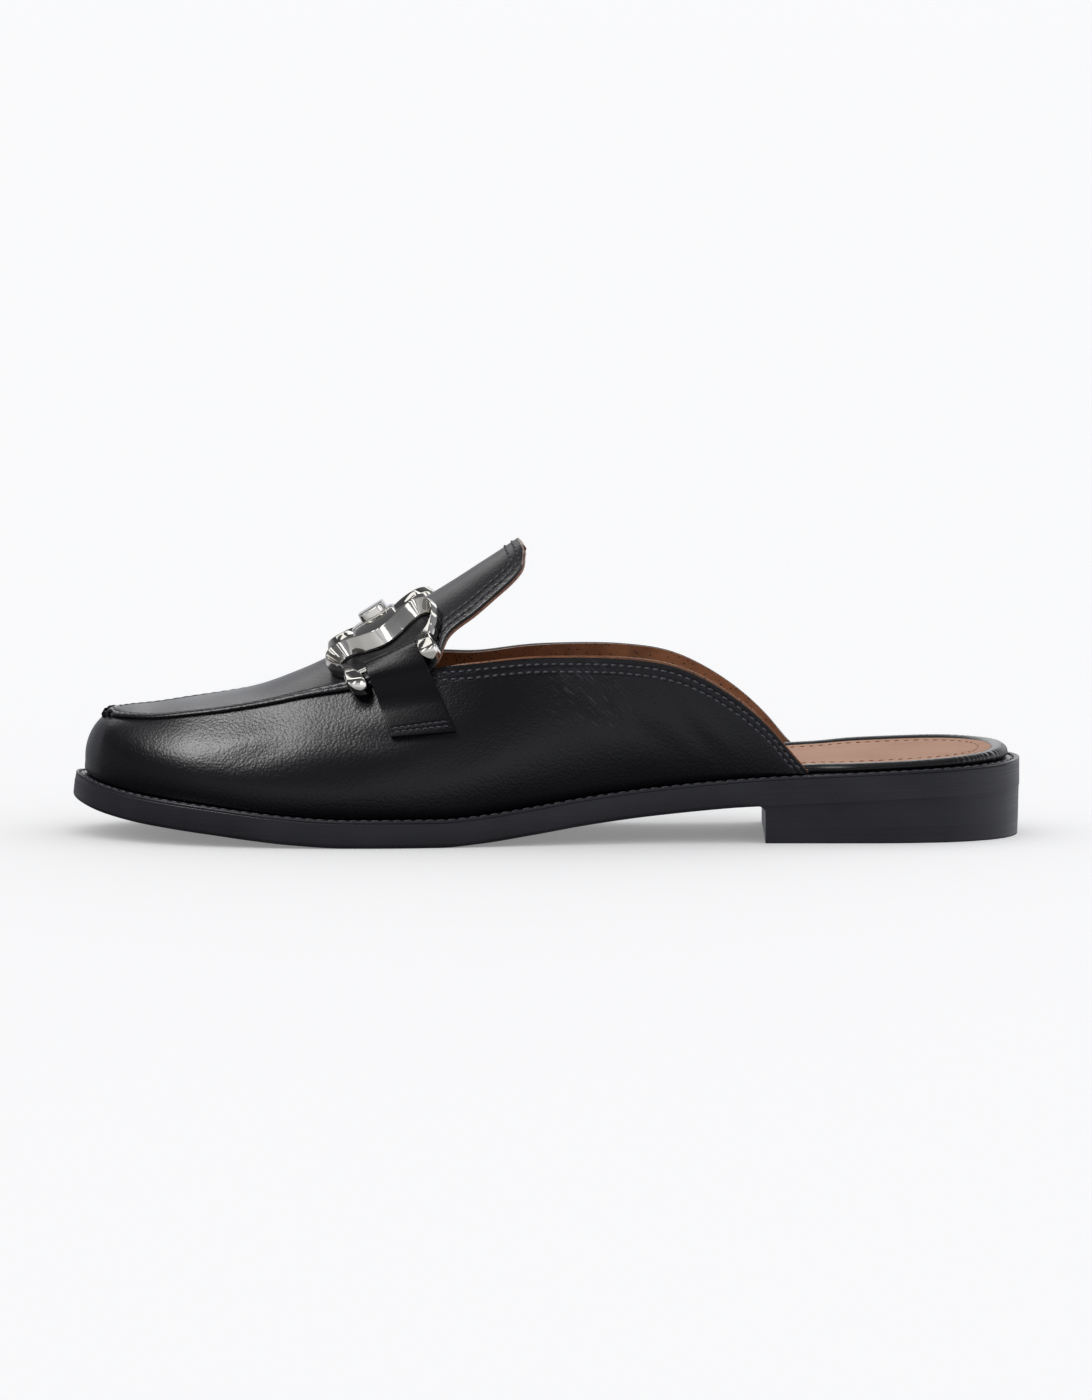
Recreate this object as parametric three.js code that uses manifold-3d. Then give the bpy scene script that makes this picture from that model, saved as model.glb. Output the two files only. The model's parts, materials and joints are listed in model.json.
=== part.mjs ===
// A backless loafer for the left foot: stitched welt on a low heel, padded footbed, leather
// upper with a raised apron and tongue, and a snaffle ornament held by two leather tabs.
// Millimetres. +X runs to the heel, +Y to the inner side of the foot, +Z up. The origin is on
// the floor, at the middle of the outsole's length and width.
import * as THREE from "three";
import { mergeVertices } from "three/addons/utils/BufferGeometryUtils.js";
import Module from "manifold-3d";

// Driving dimensions of the sole
const soleLength = 262;
const ballWidth = 88;
const outsoleThickness = 4.9;
const weltThickness = 2.4;
const weltWidth = 8;
const heelLift = 13.7; // the outsole's underside above the floor, at the back
const toeSpring = 9.6; // the outsole's underside above the floor, at the toe
const heelLength = 70.8;
const heelTaper = 1.5; // at the heel's sides
const heelBackTaper = 0.5;
const heelCove = 2.2; // the small cut corner between heel breast and outsole
const topPieceThickness = 4.6;
const edgeBevel = 1.1;
const toeLean = 0.8; // the sole's edge leans back by this much at the toe's top

// Driving dimensions of the upper
const ledge = 3.3; // the welt's stitched ledge, outside the upper
const upperWall = 1.8;
const collarRise = 41.2; // the quarter's top line above the welt, at its highest
const tongueRise = 71.9; // the tongue's tip above the welt
const apronStep = 0.9; // the apron stands this much above the vamp
const apronWall = 2.6;
const apronLip = 0.7; // the apron's edge laps over the vamp by this much

// Driving dimensions of the footbed
const rimHeight = 3.6;
const rimWidth = 5;
const bedDepth = 1.5; // the footbed's floor lies this far under its rim
const bedTilt = 0.046; // the footbed's rise towards the inner side, per millimetre of width
const sockThickness = 0.9;

// Driving dimensions of the tabs and the ornament
const tabThickness = 1.3;
const tabTopWidth = 14.4;
const bitCentre = 0.676; // where the ornament sits on the instep, as a share of soleLength
const linkReach = 15.4; // from the ornament's middle to a link's far bend, along the instep
const footGirth = 31; // from the instep's ridge to a link's foot, round the instep
const barGirth = 27.8; // from the ridge to the bar between a link's feet
const bandBase = 4.2;
const bandTop = 2.8;
const bandHeight = 4.3;
const footRadius = 2.1;
const barRadius = 0.8;
const bridgeLength = 14.4;
const bridgeHeight = 2.9;
const bossLength = 7;
const bossGirth = 9;
const bossHeight = 1.7;

const gap = 0.3; // between neighbouring pieces

const soleThickness = outsoleThickness + gap + weltThickness;
const tau = Math.PI * 2;

// The outsole's outline. along: share of soleLength from the heel's back. outer, inner: shares
// of ballWidth on the two sides of the long axis.
const outlineRows = [
  { along: 0.008, outer: 0.13, inner: 0.13 },
  { along: 0.03, outer: 0.229, inner: 0.229 },
  { along: 0.069, outer: 0.305, inner: 0.305 },
  { along: 0.122, outer: 0.339, inner: 0.337 },
  { along: 0.191, outer: 0.346, inner: 0.336 },
  { along: 0.286, outer: 0.346, inner: 0.314 },
  { along: 0.382, outer: 0.36, inner: 0.296 },
  { along: 0.477, outer: 0.4, inner: 0.33 },
  { along: 0.573, outer: 0.457, inner: 0.407 },
  { along: 0.655, outer: 0.494, inner: 0.472 },
  { along: 0.725, outer: 0.497, inner: 0.499 },
  { along: 0.8, outer: 0.475, inner: 0.486 },
  { along: 0.865, outer: 0.419, inner: 0.444 },
  { along: 0.915, outer: 0.342, inner: 0.382 },
  { along: 0.953, outer: 0.25, inner: 0.303 },
  { along: 0.98, outer: 0.155, inner: 0.222 },
  { along: 0.9945, outer: 0.056, inner: 0.136 },
];
const toeTip = { along: 1, inner: 0.042 };

// The line of the outsole's underside. heel: share of heelLift. toe: share of toeSpring.
const treadRows = [
  { along: 0, heel: 1, toe: 0 },
  { along: 0.14, heel: 0.88, toe: 0 },
  { along: 0.275, heel: 0.752, toe: 0 },
  { along: 0.39, heel: 0.558, toe: 0 },
  { along: 0.457, heel: 0.394, toe: 0 },
  { along: 0.513, heel: 0.219, toe: 0 },
  { along: 0.57, heel: 0.062, toe: 0 },
  { along: 0.61, heel: 0, toe: 0 },
  { along: 0.71, heel: 0, toe: 0 },
  { along: 0.77, heel: 0, toe: 0.09 },
  { along: 0.81, heel: 0, toe: 0.2 },
  { along: 0.845, heel: 0, toe: 0.31 },
  { along: 0.893, heel: 0, toe: 0.45 },
  { along: 0.93, heel: 0, toe: 0.57 },
  { along: 0.965, heel: 0, toe: 0.74 },
  { along: 1, heel: 0, toe: 1 },
];

// The quarter's free top line, from its back end to the throat. foot: where the section stands
// on the welt. edge: where its top is. Both are shares of soleLength. outer, inner: shares of
// ballWidth. rise: share of collarRise. bulge: share of the wall's height. lean: degrees.
const collarRows = [
  {
    foot: 0.225, edge: 0.226, outer: 0.309, inner: 0.293, rise: 0.019, innerRise: 0.019,
    bulge: 0, lean: 90,
  },
  {
    foot: 0.243, edge: 0.244, outer: 0.312, inner: 0.295, rise: 0.155, innerRise: 0.13,
    bulge: 0.02, lean: 90,
  },
  {
    foot: 0.267, edge: 0.267, outer: 0.318, inner: 0.3, rise: 0.337, innerRise: 0.31,
    bulge: 0.04, lean: 90,
  },
  {
    foot: 0.298, edge: 0.298, outer: 0.324, inner: 0.303, rise: 0.524, innerRise: 0.5,
    bulge: 0.05, lean: 91,
  },
  {
    foot: 0.336, edge: 0.336, outer: 0.332, inner: 0.307, rise: 0.697, innerRise: 0.675,
    bulge: 0.06, lean: 91,
  },
  {
    foot: 0.374, edge: 0.374, outer: 0.338, inner: 0.312, rise: 0.813, innerRise: 0.795,
    bulge: 0.07, lean: 90,
  },
  {
    foot: 0.418, edge: 0.42, outer: 0.344, inner: 0.32, rise: 0.886, innerRise: 0.866,
    bulge: 0.07, lean: 88,
  },
  {
    foot: 0.462, edge: 0.466, outer: 0.347, inner: 0.327, rise: 0.937, innerRise: 0.912,
    bulge: 0.07, lean: 85,
  },
  {
    foot: 0.513, edge: 0.519, outer: 0.346, inner: 0.331, rise: 0.988, innerRise: 0.955,
    bulge: 0.07, lean: 80,
  },
  {
    foot: 0.565, edge: 0.573, outer: 0.338, inner: 0.329, rise: 1, innerRise: 0.962,
    bulge: 0.07, lean: 75,
  },
];

// The apron's seam, from the throat to the toe. ridge: where the section crosses the instep's
// ridge, a share of soleLength. ridgeRise: share of tongueRise. The rest is as above.
const seamRows = [
  {
    foot: 0.612, edge: 0.621, outer: 0.317, inner: 0.313, rise: 0.983,
    bulge: 0.07, lean: 66, ridge: 0.653, ridgeRise: 0.746,
  },
  {
    foot: 0.654, edge: 0.66, outer: 0.313, inner: 0.311, rise: 0.905,
    bulge: 0.07, lean: 60, ridge: 0.686, ridgeRise: 0.671,
  },
  {
    foot: 0.698, edge: 0.702, outer: 0.306, inner: 0.308, rise: 0.845,
    bulge: 0.07, lean: 56, ridge: 0.72, ridgeRise: 0.59,
  },
  {
    foot: 0.744, edge: 0.748, outer: 0.297, inner: 0.303, rise: 0.784,
    bulge: 0.07, lean: 53, ridge: 0.76, ridgeRise: 0.509,
  },
  {
    foot: 0.79, edge: 0.794, outer: 0.285, inner: 0.294, rise: 0.697,
    bulge: 0.07, lean: 50, ridge: 0.802, ridgeRise: 0.437,
  },
  {
    foot: 0.838, edge: 0.84, outer: 0.272, inner: 0.281, rise: 0.614,
    bulge: 0.08, lean: 47, ridge: 0.8435, ridgeRise: 0.386,
  },
  {
    foot: 0.882, edge: 0.878, outer: 0.249, inner: 0.264, rise: 0.556,
    bulge: 0.09, lean: 43, ridge: 0.88, ridgeRise: 0.35,
  },
  {
    foot: 0.922, edge: 0.91, outer: 0.211, inner: 0.236, rise: 0.507,
    bulge: 0.09, lean: 38, ridge: 0.912, ridgeRise: 0.32,
  },
  {
    foot: 0.955, edge: 0.936, outer: 0.157, inner: 0.195, rise: 0.476,
    bulge: 0.08, lean: 33, ridge: 0.938, ridgeRise: 0.299,
  },
  {
    foot: 0.976, edge: 0.9525, outer: 0.1, inner: 0.146, rise: 0.455,
    bulge: 0.07, lean: 30, ridge: 0.954, ridgeRise: 0.28,
  },
  {
    foot: 0.985, edge: 0.961, outer: 0.036, inner: 0.092, rise: 0.447,
    bulge: 0.06, lean: 28, ridge: 0.962, ridgeRise: 0.261,
  },
];
const toeRow = { edge: 0.9637, inner: 0.028, rise: 0.445, bulge: 0.06, lean: 28 };
const apronFront = {
  edge: 0.9655, outer: 0.002, inner: 0.058, rise: 0.438, ridge: 0.9657, ridgeRise: 0.253,
};

// The free tongue, from the throat to its tip. half: share of ballWidth. drop: how far its edge
// hangs under the ridge, a share of tongueRise.
const tongueRows = [
  { ridge: 0.622, ridgeRise: 0.812, half: 0.268, drop: 0.128 },
  { ridge: 0.592, ridgeRise: 0.876, half: 0.236, drop: 0.113 },
  { ridge: 0.57, ridgeRise: 0.92, half: 0.212, drop: 0.101 },
  { ridge: 0.552, ridgeRise: 0.954, half: 0.191, drop: 0.09 },
  { ridge: 0.539, ridgeRise: 0.979, half: 0.168, drop: 0.075 },
  { ridge: 0.532, ridgeRise: 0.992, half: 0.136, drop: 0.052 },
  { ridge: 0.528, ridgeRise: 1, half: 0.095, drop: 0.028 },
];

// The lower corners of a tab on the quarter. along: share of soleLength. rise: share of
// collarRise above the welt.
const tabCorners = {
  front: { along: 0.661, rise: 0.536 },
  back: { along: 0.594, rise: 0.57 },
};

// The line of a link, from its middle to a foot. forth: share of linkReach. round: share of
// footGirth.
const linkRows = [
  { forth: 0, round: 0.553 },
  { forth: 0.3, round: 0.51 },
  { forth: 0.56, round: 0.437 },
  { forth: 0.77, round: 0.42 },
  { forth: 0.935, round: 0.475 },
  { forth: 1, round: 0.58 },
  { forth: 0.95, round: 0.695 },
  { forth: 0.8, round: 0.79 },
  { forth: 0.71, round: 0.885 },
  { forth: 0.695, round: 1 },
];

// How finely curved pieces are cut up
const outlineSteps = 2; // points for each row of the outline
const wallSteps = 7;
const rowSteps = 2; // sections for each row of the upper's tables
const apronSteps = 10;
const tabSteps = { along: 12, across: 5 };
const linkSteps = 2; // points for each row of a link's line

const wasm = await Module();
wasm.setup();

const xOf = (along) => soleLength * (0.5 - along);
const alongOf = (x) => 0.5 - x / soleLength;

// A smooth curve of one column of a table over its along column, with no overshoot.
function column(rows, name) {
  const x = rows.map((row) => row.along);
  const y = rows.map((row) => row[name]);
  const slope = x.slice(1).map((next, i) => (y[i + 1] - y[i]) / (next - x[i]));
  const tangent = x.map((_, i) => {
    const before = slope[i - 1] ?? slope[i];
    const after = slope[i] ?? before;
    return before * after <= 0 ? 0 : (2 * before * after) / (before + after);
  });
  return (at) => {
    const i = Math.min(x.length - 2, Math.max(0, x.findIndex((value) => value > at) - 1));
    const last = at >= x[x.length - 1] ? x.length - 2 : i;
    const width = x[last + 1] - x[last];
    const t = THREE.MathUtils.clamp((at - x[last]) / width, 0, 1);
    const s = 1 - t;
    return (
      y[last] * (1 + 2 * t) * s * s + tangent[last] * width * t * s * s +
      y[last + 1] * t * t * (3 - 2 * t) - tangent[last + 1] * width * t * t * s
    );
  };
}

const heelShare = column(treadRows, "heel");
const toeShare = column(treadRows, "toe");
const undersideAt = (along) => heelLift * heelShare(along) + toeSpring * toeShare(along);
const soleTopAt = (along) => undersideAt(along) + soleThickness;

// Closed loops of points become one closed surface. The two ends are closed by joining each
// point to its mirror in the loop's other half, or, in a ring, the last loop meets the first.
function skin(loops, ring = false) {
  const count = loops[0].length;
  const points = loops.flat();
  const faces = [];
  const quad = (a, b, c, d) => faces.push([a, b, c], [a, c, d]);
  const bands = ring ? loops.length : loops.length - 1;
  for (let i = 0; i < bands; i++) {
    const here = i * count;
    const next = ((i + 1) % loops.length) * count;
    for (let k = 0; k < count; k++) {
      const after = (k + 1) % count;
      quad(here + k, here + after, next + after, next + k);
    }
  }
  if (!ring) {
    const last = (loops.length - 1) * count;
    for (let k = 0; k < count / 2 - 1; k++) {
      const mirror = count - 1 - k;
      quad(k, mirror, mirror - 1, k + 1);
      quad(last + k + 1, last + mirror - 1, last + mirror, last + k);
    }
  }
  const volume = faces.reduce(
    (sum, [a, b, c]) => sum + points[a].dot(points[b].clone().cross(points[c])),
    0,
  );
  if (volume < 0) faces.forEach((face) => face.reverse());
  return new THREE.BufferGeometry()
    .setFromPoints(points)
    .setIndex(faces.flat());
}

function toSolid(geometry) {
  const bare = geometry.clone();
  bare.deleteAttribute("normal");
  bare.deleteAttribute("uv");
  const merged = mergeVertices(bare, 1e-4);
  const index = merged.index.array;
  const kept = [];
  for (let i = 0; i < index.length; i += 3) {
    const [a, b, c] = index.slice(i, i + 3);
    if (a !== b && b !== c && a !== c) kept.push(a, b, c);
  }
  return new wasm.Manifold(
    new wasm.Mesh({
      numProp: 3,
      vertProperties: merged.attributes.position.array,
      triVerts: new Uint32Array(kept),
    }),
  );
}

function toGeometry(solid) {
  const mesh = solid.getMesh();
  return new THREE.BufferGeometry()
    .setAttribute("position", new THREE.BufferAttribute(mesh.vertProperties, 3))
    .setIndex(new THREE.BufferAttribute(mesh.triVerts, 1));
}

// The outsole's outline as one closed curve. Its parameter counts rows: 0 at the heel's back, up
// the outer side to the toe's tip, and back down the inner side.
const outlinePoints = [
  new THREE.Vector3(xOf(0), 0, 0),
  ...outlineRows.map((row) => new THREE.Vector3(xOf(row.along), -row.outer * ballWidth, 0)),
  new THREE.Vector3(xOf(toeTip.along), toeTip.inner * ballWidth, 0),
  ...outlineRows.map((row) => new THREE.Vector3(xOf(row.along), row.inner * ballWidth, 0)).reverse(),
];
const rowTurn = outlinePoints.length;
const toeTurn = rowTurn / 2;
const rawOutline = new THREE.CatmullRomCurve3(outlinePoints, true, "catmullrom", 0.5);
const outlineBox = new THREE.Box3().setFromPoints(rawOutline.getPoints(rowTurn * 20));
const sideShift = -(outlineBox.min.y + outlineBox.max.y) / 2;

function outlineAt(turn, inset = 0) {
  const t = (((turn / rowTurn) % 1) + 1) % 1;
  const tangent = rawOutline.getTangent(t);
  const inward = new THREE.Vector3(-tangent.y, tangent.x, 0).normalize().negate();
  const point = rawOutline.getPoint(t);
  point.y += sideShift;
  return point.addScaledVector(inward, inset);
}

// The outline's parameter on the outer side at a share of the length. On the inner side it is
// rowTurn less that.
function turnAt(along) {
  let low = 0;
  let high = toeTurn;
  for (let i = 0; i < 40; i++) {
    const middle = (low + high) / 2;
    if (alongOf(rawOutline.getPoint(middle / rowTurn).x) < along) low = middle;
    else high = middle;
  }
  return low;
}

// One level of a sole piece: the outline, set in by inset, at a height. Both may follow along.
function level(inset, height) {
  const count = rowTurn * outlineSteps;
  const insetAt = typeof inset === "function" ? inset : () => inset;
  return Array.from({ length: count }, (_, i) => {
    const turn = ((i + 0.5) / count) * rowTurn;
    const point = outlineAt(turn, insetAt(alongOf(outlineAt(turn).x)));
    point.z = height(alongOf(point.x), point.y);
    return point;
  });
}

// A smooth step from 0 to 1 as along passes from a to b.
const ease = (along, a, b) => THREE.MathUtils.smoothstep(along, Math.min(a, b), Math.max(a, b));

const breast = heelLength / soleLength;

function makeOutsole() {
  const bevel = (along) => edgeBevel * ease(along, breast, breast * 1.15);
  const top = (along) => undersideAt(along) + outsoleThickness;
  return skin([
    level(bevel, undersideAt),
    level((along) => bevel(along) * 0.3, (along) => undersideAt(along) + edgeBevel * 0.5),
    level(0, (along) => undersideAt(along) + edgeBevel * 1.3),
    level((along) => toeLean * 0.5 * ease(along, 0.94, 0.995), top),
  ]);
}

function makeWelt() {
  const bottom = (along) => undersideAt(along) + outsoleThickness + gap;
  const top = (along) => soleTopAt(along);
  const lean = (along) => toeLean * ease(along, 0.94, 0.995);
  const rings = [
    level((along) => lean(along) * 0.6, bottom),
    level(lean, (along) => top(along) - edgeBevel * 0.4),
    level((along) => lean(along) + edgeBevel * 0.4, top),
    level(ledge, top),
    level(weltWidth, top),
    level(weltWidth, bottom),
  ];
  return skin(rings, true);
}

// What lies behind the heel's breast, as a block across the shoe, with the cove at its top.
function behindBreast() {
  const front = xOf(breast);
  const high = undersideAt(breast);
  const far = soleLength;
  const profile = new THREE.Shape();
  profile.moveTo(front, -far);
  profile.lineTo(far, -far);
  profile.lineTo(far, far);
  profile.lineTo(front - heelCove, far);
  profile.lineTo(front - heelCove, high - gap);
  profile.lineTo(front, high - heelCove * 0.8);
  profile.closePath();
  const block = new THREE.ExtrudeGeometry(profile, { depth: 2 * ballWidth, bevelEnabled: false });
  return block.rotateX(Math.PI / 2).translate(0, ballWidth, 0);
}

// A layer of the heel between two heights, with sides that draw in towards the floor.
function makeHeelLayer(bottom, top) {
  const taper = (height) => (along) => {
    const full = THREE.MathUtils.lerp(heelBackTaper, heelTaper, ease(along, 0, 0.08));
    return full * Math.max(0, 1 - height(along) / heelLift);
  };
  const layer = skin([level(taper(bottom), bottom), level(taper(top), top)]);
  return toGeometry(toSolid(layer).intersect(toSolid(behindBreast())));
}

const quarterEnd = collarRows[0].foot;
const bedInset = (along) =>
  ledge + (upperWall + gap) * ease(along, quarterEnd - 0.05, quarterEnd - 0.005);

const soleGap = (along) => soleTopAt(along) + gap;

// A height over the sole's top, on the footbed, which leans up to the inner side at the heel
// and arch.
const above = (rise) => (along, y) => {
  const tilt = bedTilt * (rise / rimHeight) * (1 - ease(along, 0.42, 0.58));
  return soleTopAt(along) + rise + tilt * y;
};

// The footbed: its board fills the welt's ring, and its padded rim stands inside the ledge.
function makeFootbed() {
  const inFrom = (distance) => (along) => bedInset(along) + distance;
  const boardBottom = (along) => undersideAt(along) + outsoleThickness + gap;
  return skin([
    level(weltWidth + gap, boardBottom),
    level(weltWidth + gap, soleGap),
    level(inFrom(rimWidth * 0.3), soleGap),
    level(inFrom(0), above(rimHeight * 0.32)),
    level(inFrom(0), above(rimHeight * 0.6)),
    level(inFrom(rimWidth * 0.2), above(rimHeight * 0.9)),
    level(inFrom(rimWidth * 0.5), above(rimHeight)),
    level(inFrom(rimWidth * 0.82), above(rimHeight * 0.88)),
    level(inFrom(rimWidth), above(rimHeight - bedDepth)),
  ]);
}

function makeSock() {
  const inset = (along) => bedInset(along) + rimWidth + gap;
  const floor = rimHeight - bedDepth + gap;
  return skin([
    level(inset, above(floor)),
    level(inset, above(floor + sockThickness * 0.6)),
    level((along) => inset(along) + sockThickness * 0.5, above(floor + sockThickness)),
  ]);
}

// The instep's ridge and the apron's two edges, as curves with one point for each row, from the
// apron's front over the throat to the tongue's tip.
function seamPoint(row, side) {
  const across = side < 0 ? -row.outer : row.inner;
  const rise = side < 0 ? row.rise : (row.innerRise ?? row.rise);
  const height = soleTopAt(row.edge) + rise * collarRise;
  return new THREE.Vector3(xOf(row.edge), across * ballWidth, height);
}

const apronRows = [apronFront, ...[...seamRows].reverse(), ...tongueRows];
const ridgePoints = apronRows.map((row) => {
  const middle = row.half === undefined ? (row.inner - row.outer) / 2 : 0;
  const height = soleTopAt(row.ridge) + row.ridgeRise * tongueRise - apronStep;
  return new THREE.Vector3(xOf(row.ridge), middle * ballWidth, height);
});
const ridge = new THREE.CatmullRomCurve3(ridgePoints, false, "catmullrom", 0.5);

function tongueEdge(row, i, side) {
  const tangent = ridge.getTangent(i / (apronRows.length - 1));
  const down = new THREE.Vector3(tangent.z, 0, -tangent.x).normalize();
  return ridgePoints[i]
    .clone()
    .addScaledVector(down, row.drop * tongueRise)
    .add(new THREE.Vector3(0, side * row.half * ballWidth, 0));
}

const edgeCurve = (side) =>
  new THREE.CatmullRomCurve3(
    apronRows.map((row, i) =>
      row.half === undefined ? seamPoint(row, side) : tongueEdge(row, i, side),
    ),
    false, "catmullrom", 0.5,
  );
const apronEdge = { "-1": edgeCurve(-1), 1: edgeCurve(1) };

// The arc that the apron takes from its ridge to one edge, in the plane square to the ridge.
function apronArc(t, side) {
  const top = ridge.getPoint(t);
  const tangent = ridge.getTangent(t);
  const forward = new THREE.Vector3(tangent.x, 0, tangent.z).normalize();
  const down = new THREE.Vector3(forward.z, 0, -forward.x);
  const reach = apronEdge[side].getPoint(t).sub(top);
  const chord = Math.abs(reach.y);
  const drop = Math.max(0.05, reach.dot(down));
  const radius = (chord * chord + drop * drop) / (2 * drop);
  const skew = reach.dot(forward);
  return { top, forward, down, radius, skew, span: Math.asin(Math.min(1, chord / radius)) };
}

// A point of the apron: t runs from its front to the tongue's tip, across from -1 to 1 between
// its edges, and lift is the height over the vamp's surface.
function apronPoint(t, across, lift) {
  const side = across < 0 ? -1 : 1;
  const arc = apronArc(t, side);
  const angle = Math.abs(across) * arc.span;
  const radius = arc.radius + lift;
  return arc.top
    .clone()
    .addScaledVector(arc.down, arc.radius - radius * Math.cos(angle))
    .addScaledVector(arc.forward, arc.skew * across * across)
    .add(new THREE.Vector3(0, side * radius * Math.sin(angle), 0));
}

// The vamp's and quarters' outside surface: turn follows the welt, up runs from 0 to 1.
const wallRows = [...collarRows, ...seamRows];
const wallTurns = wallRows.map((row) => turnAt(row.foot));
const wallEnds = [
  ...wallRows.map((row, i) => ({ row, side: -1, turn: wallTurns[i] })),
  { row: { ...toeRow, outer: -toeRow.inner }, side: 1, turn: toeTurn },
  ...wallRows.map((row, i) => ({ row, side: 1, turn: rowTurn - wallTurns[i] })).reverse(),
];
const wallTop = new THREE.CatmullRomCurve3(
  wallEnds.map(({ row, side }) => seamPoint(row, side)),
  false, "catmullrom", 0.5,
);
const wallFoot = new THREE.CatmullRomCurve3(
  wallEnds.map(({ row, turn }) => new THREE.Vector3(turn, row.bulge, row.lean)),
  false, "catmullrom", 0.5,
);

function wallPoint(t, up) {
  const { x: turn, y: bulge, z: lean } = wallFoot.getPoint(t);
  const foot = outlineAt(turn, ledge);
  const inward = outlineAt(turn, ledge + 1).sub(foot);
  foot.z = soleTopAt(alongOf(foot.x)) + gap;
  const top = wallTop.getPoint(t);
  const height = top.z - foot.z;
  const reach = foot.distanceTo(top);
  const angle = THREE.MathUtils.degToRad(lean);
  const flat = new THREE.Vector3(top.x - foot.x, top.y - foot.y, 0);
  const towards = flat.dot(inward) > 1 ? flat.normalize() : inward;
  const low = foot.clone().addScaledVector(inward, -bulge * height * 2);
  low.z += height * 0.42;
  const high = top.clone().addScaledVector(towards, -Math.cos(angle) * reach * 0.34);
  high.z -= Math.sin(angle) * reach * 0.34;
  return new THREE.CubicBezierCurve3(foot, low, high, top).getPoint(up);
}

// A shell from its outer surface: point(i, j) is on a grid, and the shell is wall thick inside.
function wallLoops(stations) {
  const outer = stations.map((t) =>
    Array.from({ length: wallSteps + 1 }, (_, j) => wallPoint(t, j / wallSteps)),
  );
  return outer.map((line, i) => {
    const before = outer[Math.max(0, i - 1)];
    const after = outer[Math.min(outer.length - 1, i + 1)];
    const inner = line.map((point, j) => {
      const along = after[j].clone().sub(before[j]);
      const up = line[Math.min(wallSteps, j + 1)].clone().sub(line[Math.max(0, j - 1)]);
      const inward = along.cross(up).normalize();
      const moved = point.clone().addScaledVector(inward, upperWall);
      moved.z = j === 0 ? point.z : Math.max(moved.z, line[0].z);
      return moved;
    });
    return [...line, ...inner.reverse()];
  });
}

function makeUpper() {
  const wallCount = (wallEnds.length - 1) * rowSteps;
  const wall = skin(
    wallLoops(Array.from({ length: wallCount + 1 }, (_, i) => i / wallCount)),
  );
  const apronCount = (apronRows.length - 1) * rowSteps;
  const loops = Array.from({ length: apronCount + 1 }, (_, i) => {
    const t = i / apronCount;
    const arc = apronArc(t, 1);
    const lip = 1 + apronLip / (arc.radius * arc.span);
    const inside = Array.from({ length: apronSteps + 1 }, (_, k) => (2 * k) / apronSteps - 1);
    const across = [-lip, ...inside, lip];
    const under = (c) => {
      if (Math.abs(c) > 1) return -0.2;
      return Math.abs(c) > 0.99 ? -0.7 : apronStep - apronWall;
    };
    return [
      ...across.map((c) => apronPoint(t, c, apronStep)),
      ...across.reverse().map((c) => apronPoint(t, c, under(c))),
    ];
  });
  return toGeometry(toSolid(wall).add(toSolid(skin(loops))));
}

// The ornament's own grid: forth runs up the instep from the ornament's middle, round runs from
// the ridge round the instep, and lift is the height over the apron.
const ridgeTable = ridge.getSpacedPoints(400);
const middleIndex = ridgeTable.findIndex((point) => alongOf(point.x) < bitCentre);
const ridgeLength = ridge.getLength();
function bitPoint(forth, round, lift) {
  const share = middleIndex / 400 + forth / ridgeLength;
  const t = ridge.getUtoTmapping(share);
  const side = round < 0 ? -1 : 1;
  const arc = apronArc(t, side);
  const radius = arc.radius + apronStep;
  const across = Math.abs(round) / radius / arc.span;
  return apronPoint(t, side * across, apronStep + lift);
}

// The line of a link, from one foot over its middle to the other.
const linkLine = new THREE.CatmullRomCurve3(
  [
    ...[...linkRows].reverse().map((row) => ({ ...row, forth: -row.forth })),
    ...linkRows.slice(1),
  ].map((row) => new THREE.Vector3(row.forth * linkReach, row.round * footGirth, 0)),
  false, "catmullrom", 0.5,
);

// The girth of a link's middle line at a distance forth, between its shoulders.
const waveGirth = (forth) => {
  const rows = linkRows.slice(0, 4);
  const table = rows.map((row) => ({ along: row.forth, round: row.round }));
  return column(table, "round")(Math.abs(forth) / linkReach) * footGirth;
};

// The band's section, from a round foot to an upright band that narrows to its flat top.
function makeLink(side) {
  const last = (linkRows.length - 1) * 2 * linkSteps;
  const loops = Array.from({ length: last + 1 }, (_, i) => {
    const middle = linkLine.getPoint(i / last);
    const run = linkLine.getTangent(i / last);
    const band = THREE.MathUtils.smoothstep(Math.min(i, last - i) / linkSteps, 1, 3.5);
    const corner = THREE.MathUtils.lerp(1, 0.45, band);
    return Array.from({ length: 10 }, (_, k) => {
      const angle = (tau * (k + 0.5)) / 10;
      const up = Math.sign(Math.sin(angle)) * Math.abs(Math.sin(angle)) ** corner;
      const width = THREE.MathUtils.lerp(bandBase, bandTop, (1 + up) / 2) / 2;
      const half = THREE.MathUtils.lerp(footRadius, width, band);
      const across = half * Math.sign(Math.cos(angle)) * Math.abs(Math.cos(angle)) ** corner;
      return bitPoint(
        middle.x - run.y * across,
        side * (middle.y + run.x * across),
        gap + (bandHeight / 2) * (1 + up),
      );
    });
  });
  const bar = cylinderBetween(barEnd(1, side), barEnd(-1, side), barRadius, 10);
  return toGeometry(toSolid(skin(loops)).add(toSolid(bar)));
}

// An end of the bar between a link's feet, which the tab folds round.
const barEnd = (end, side) =>
  bitPoint(end * linkRows.at(-1).forth * linkReach, side * barGirth, gap + bandHeight / 2);

function cylinderBetween(from, to, radius, sides) {
  const axis = to.clone().sub(from);
  const body = new THREE.CylinderGeometry(radius, radius, axis.length(), sides);
  const turn = new THREE.Quaternion().setFromUnitVectors(
    new THREE.Vector3(0, 1, 0),
    axis.clone().normalize(),
  );
  const middle = from.clone().add(to).multiplyScalar(0.5);
  return body.applyQuaternion(turn).translate(middle.x, middle.y, middle.z);
}

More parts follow.
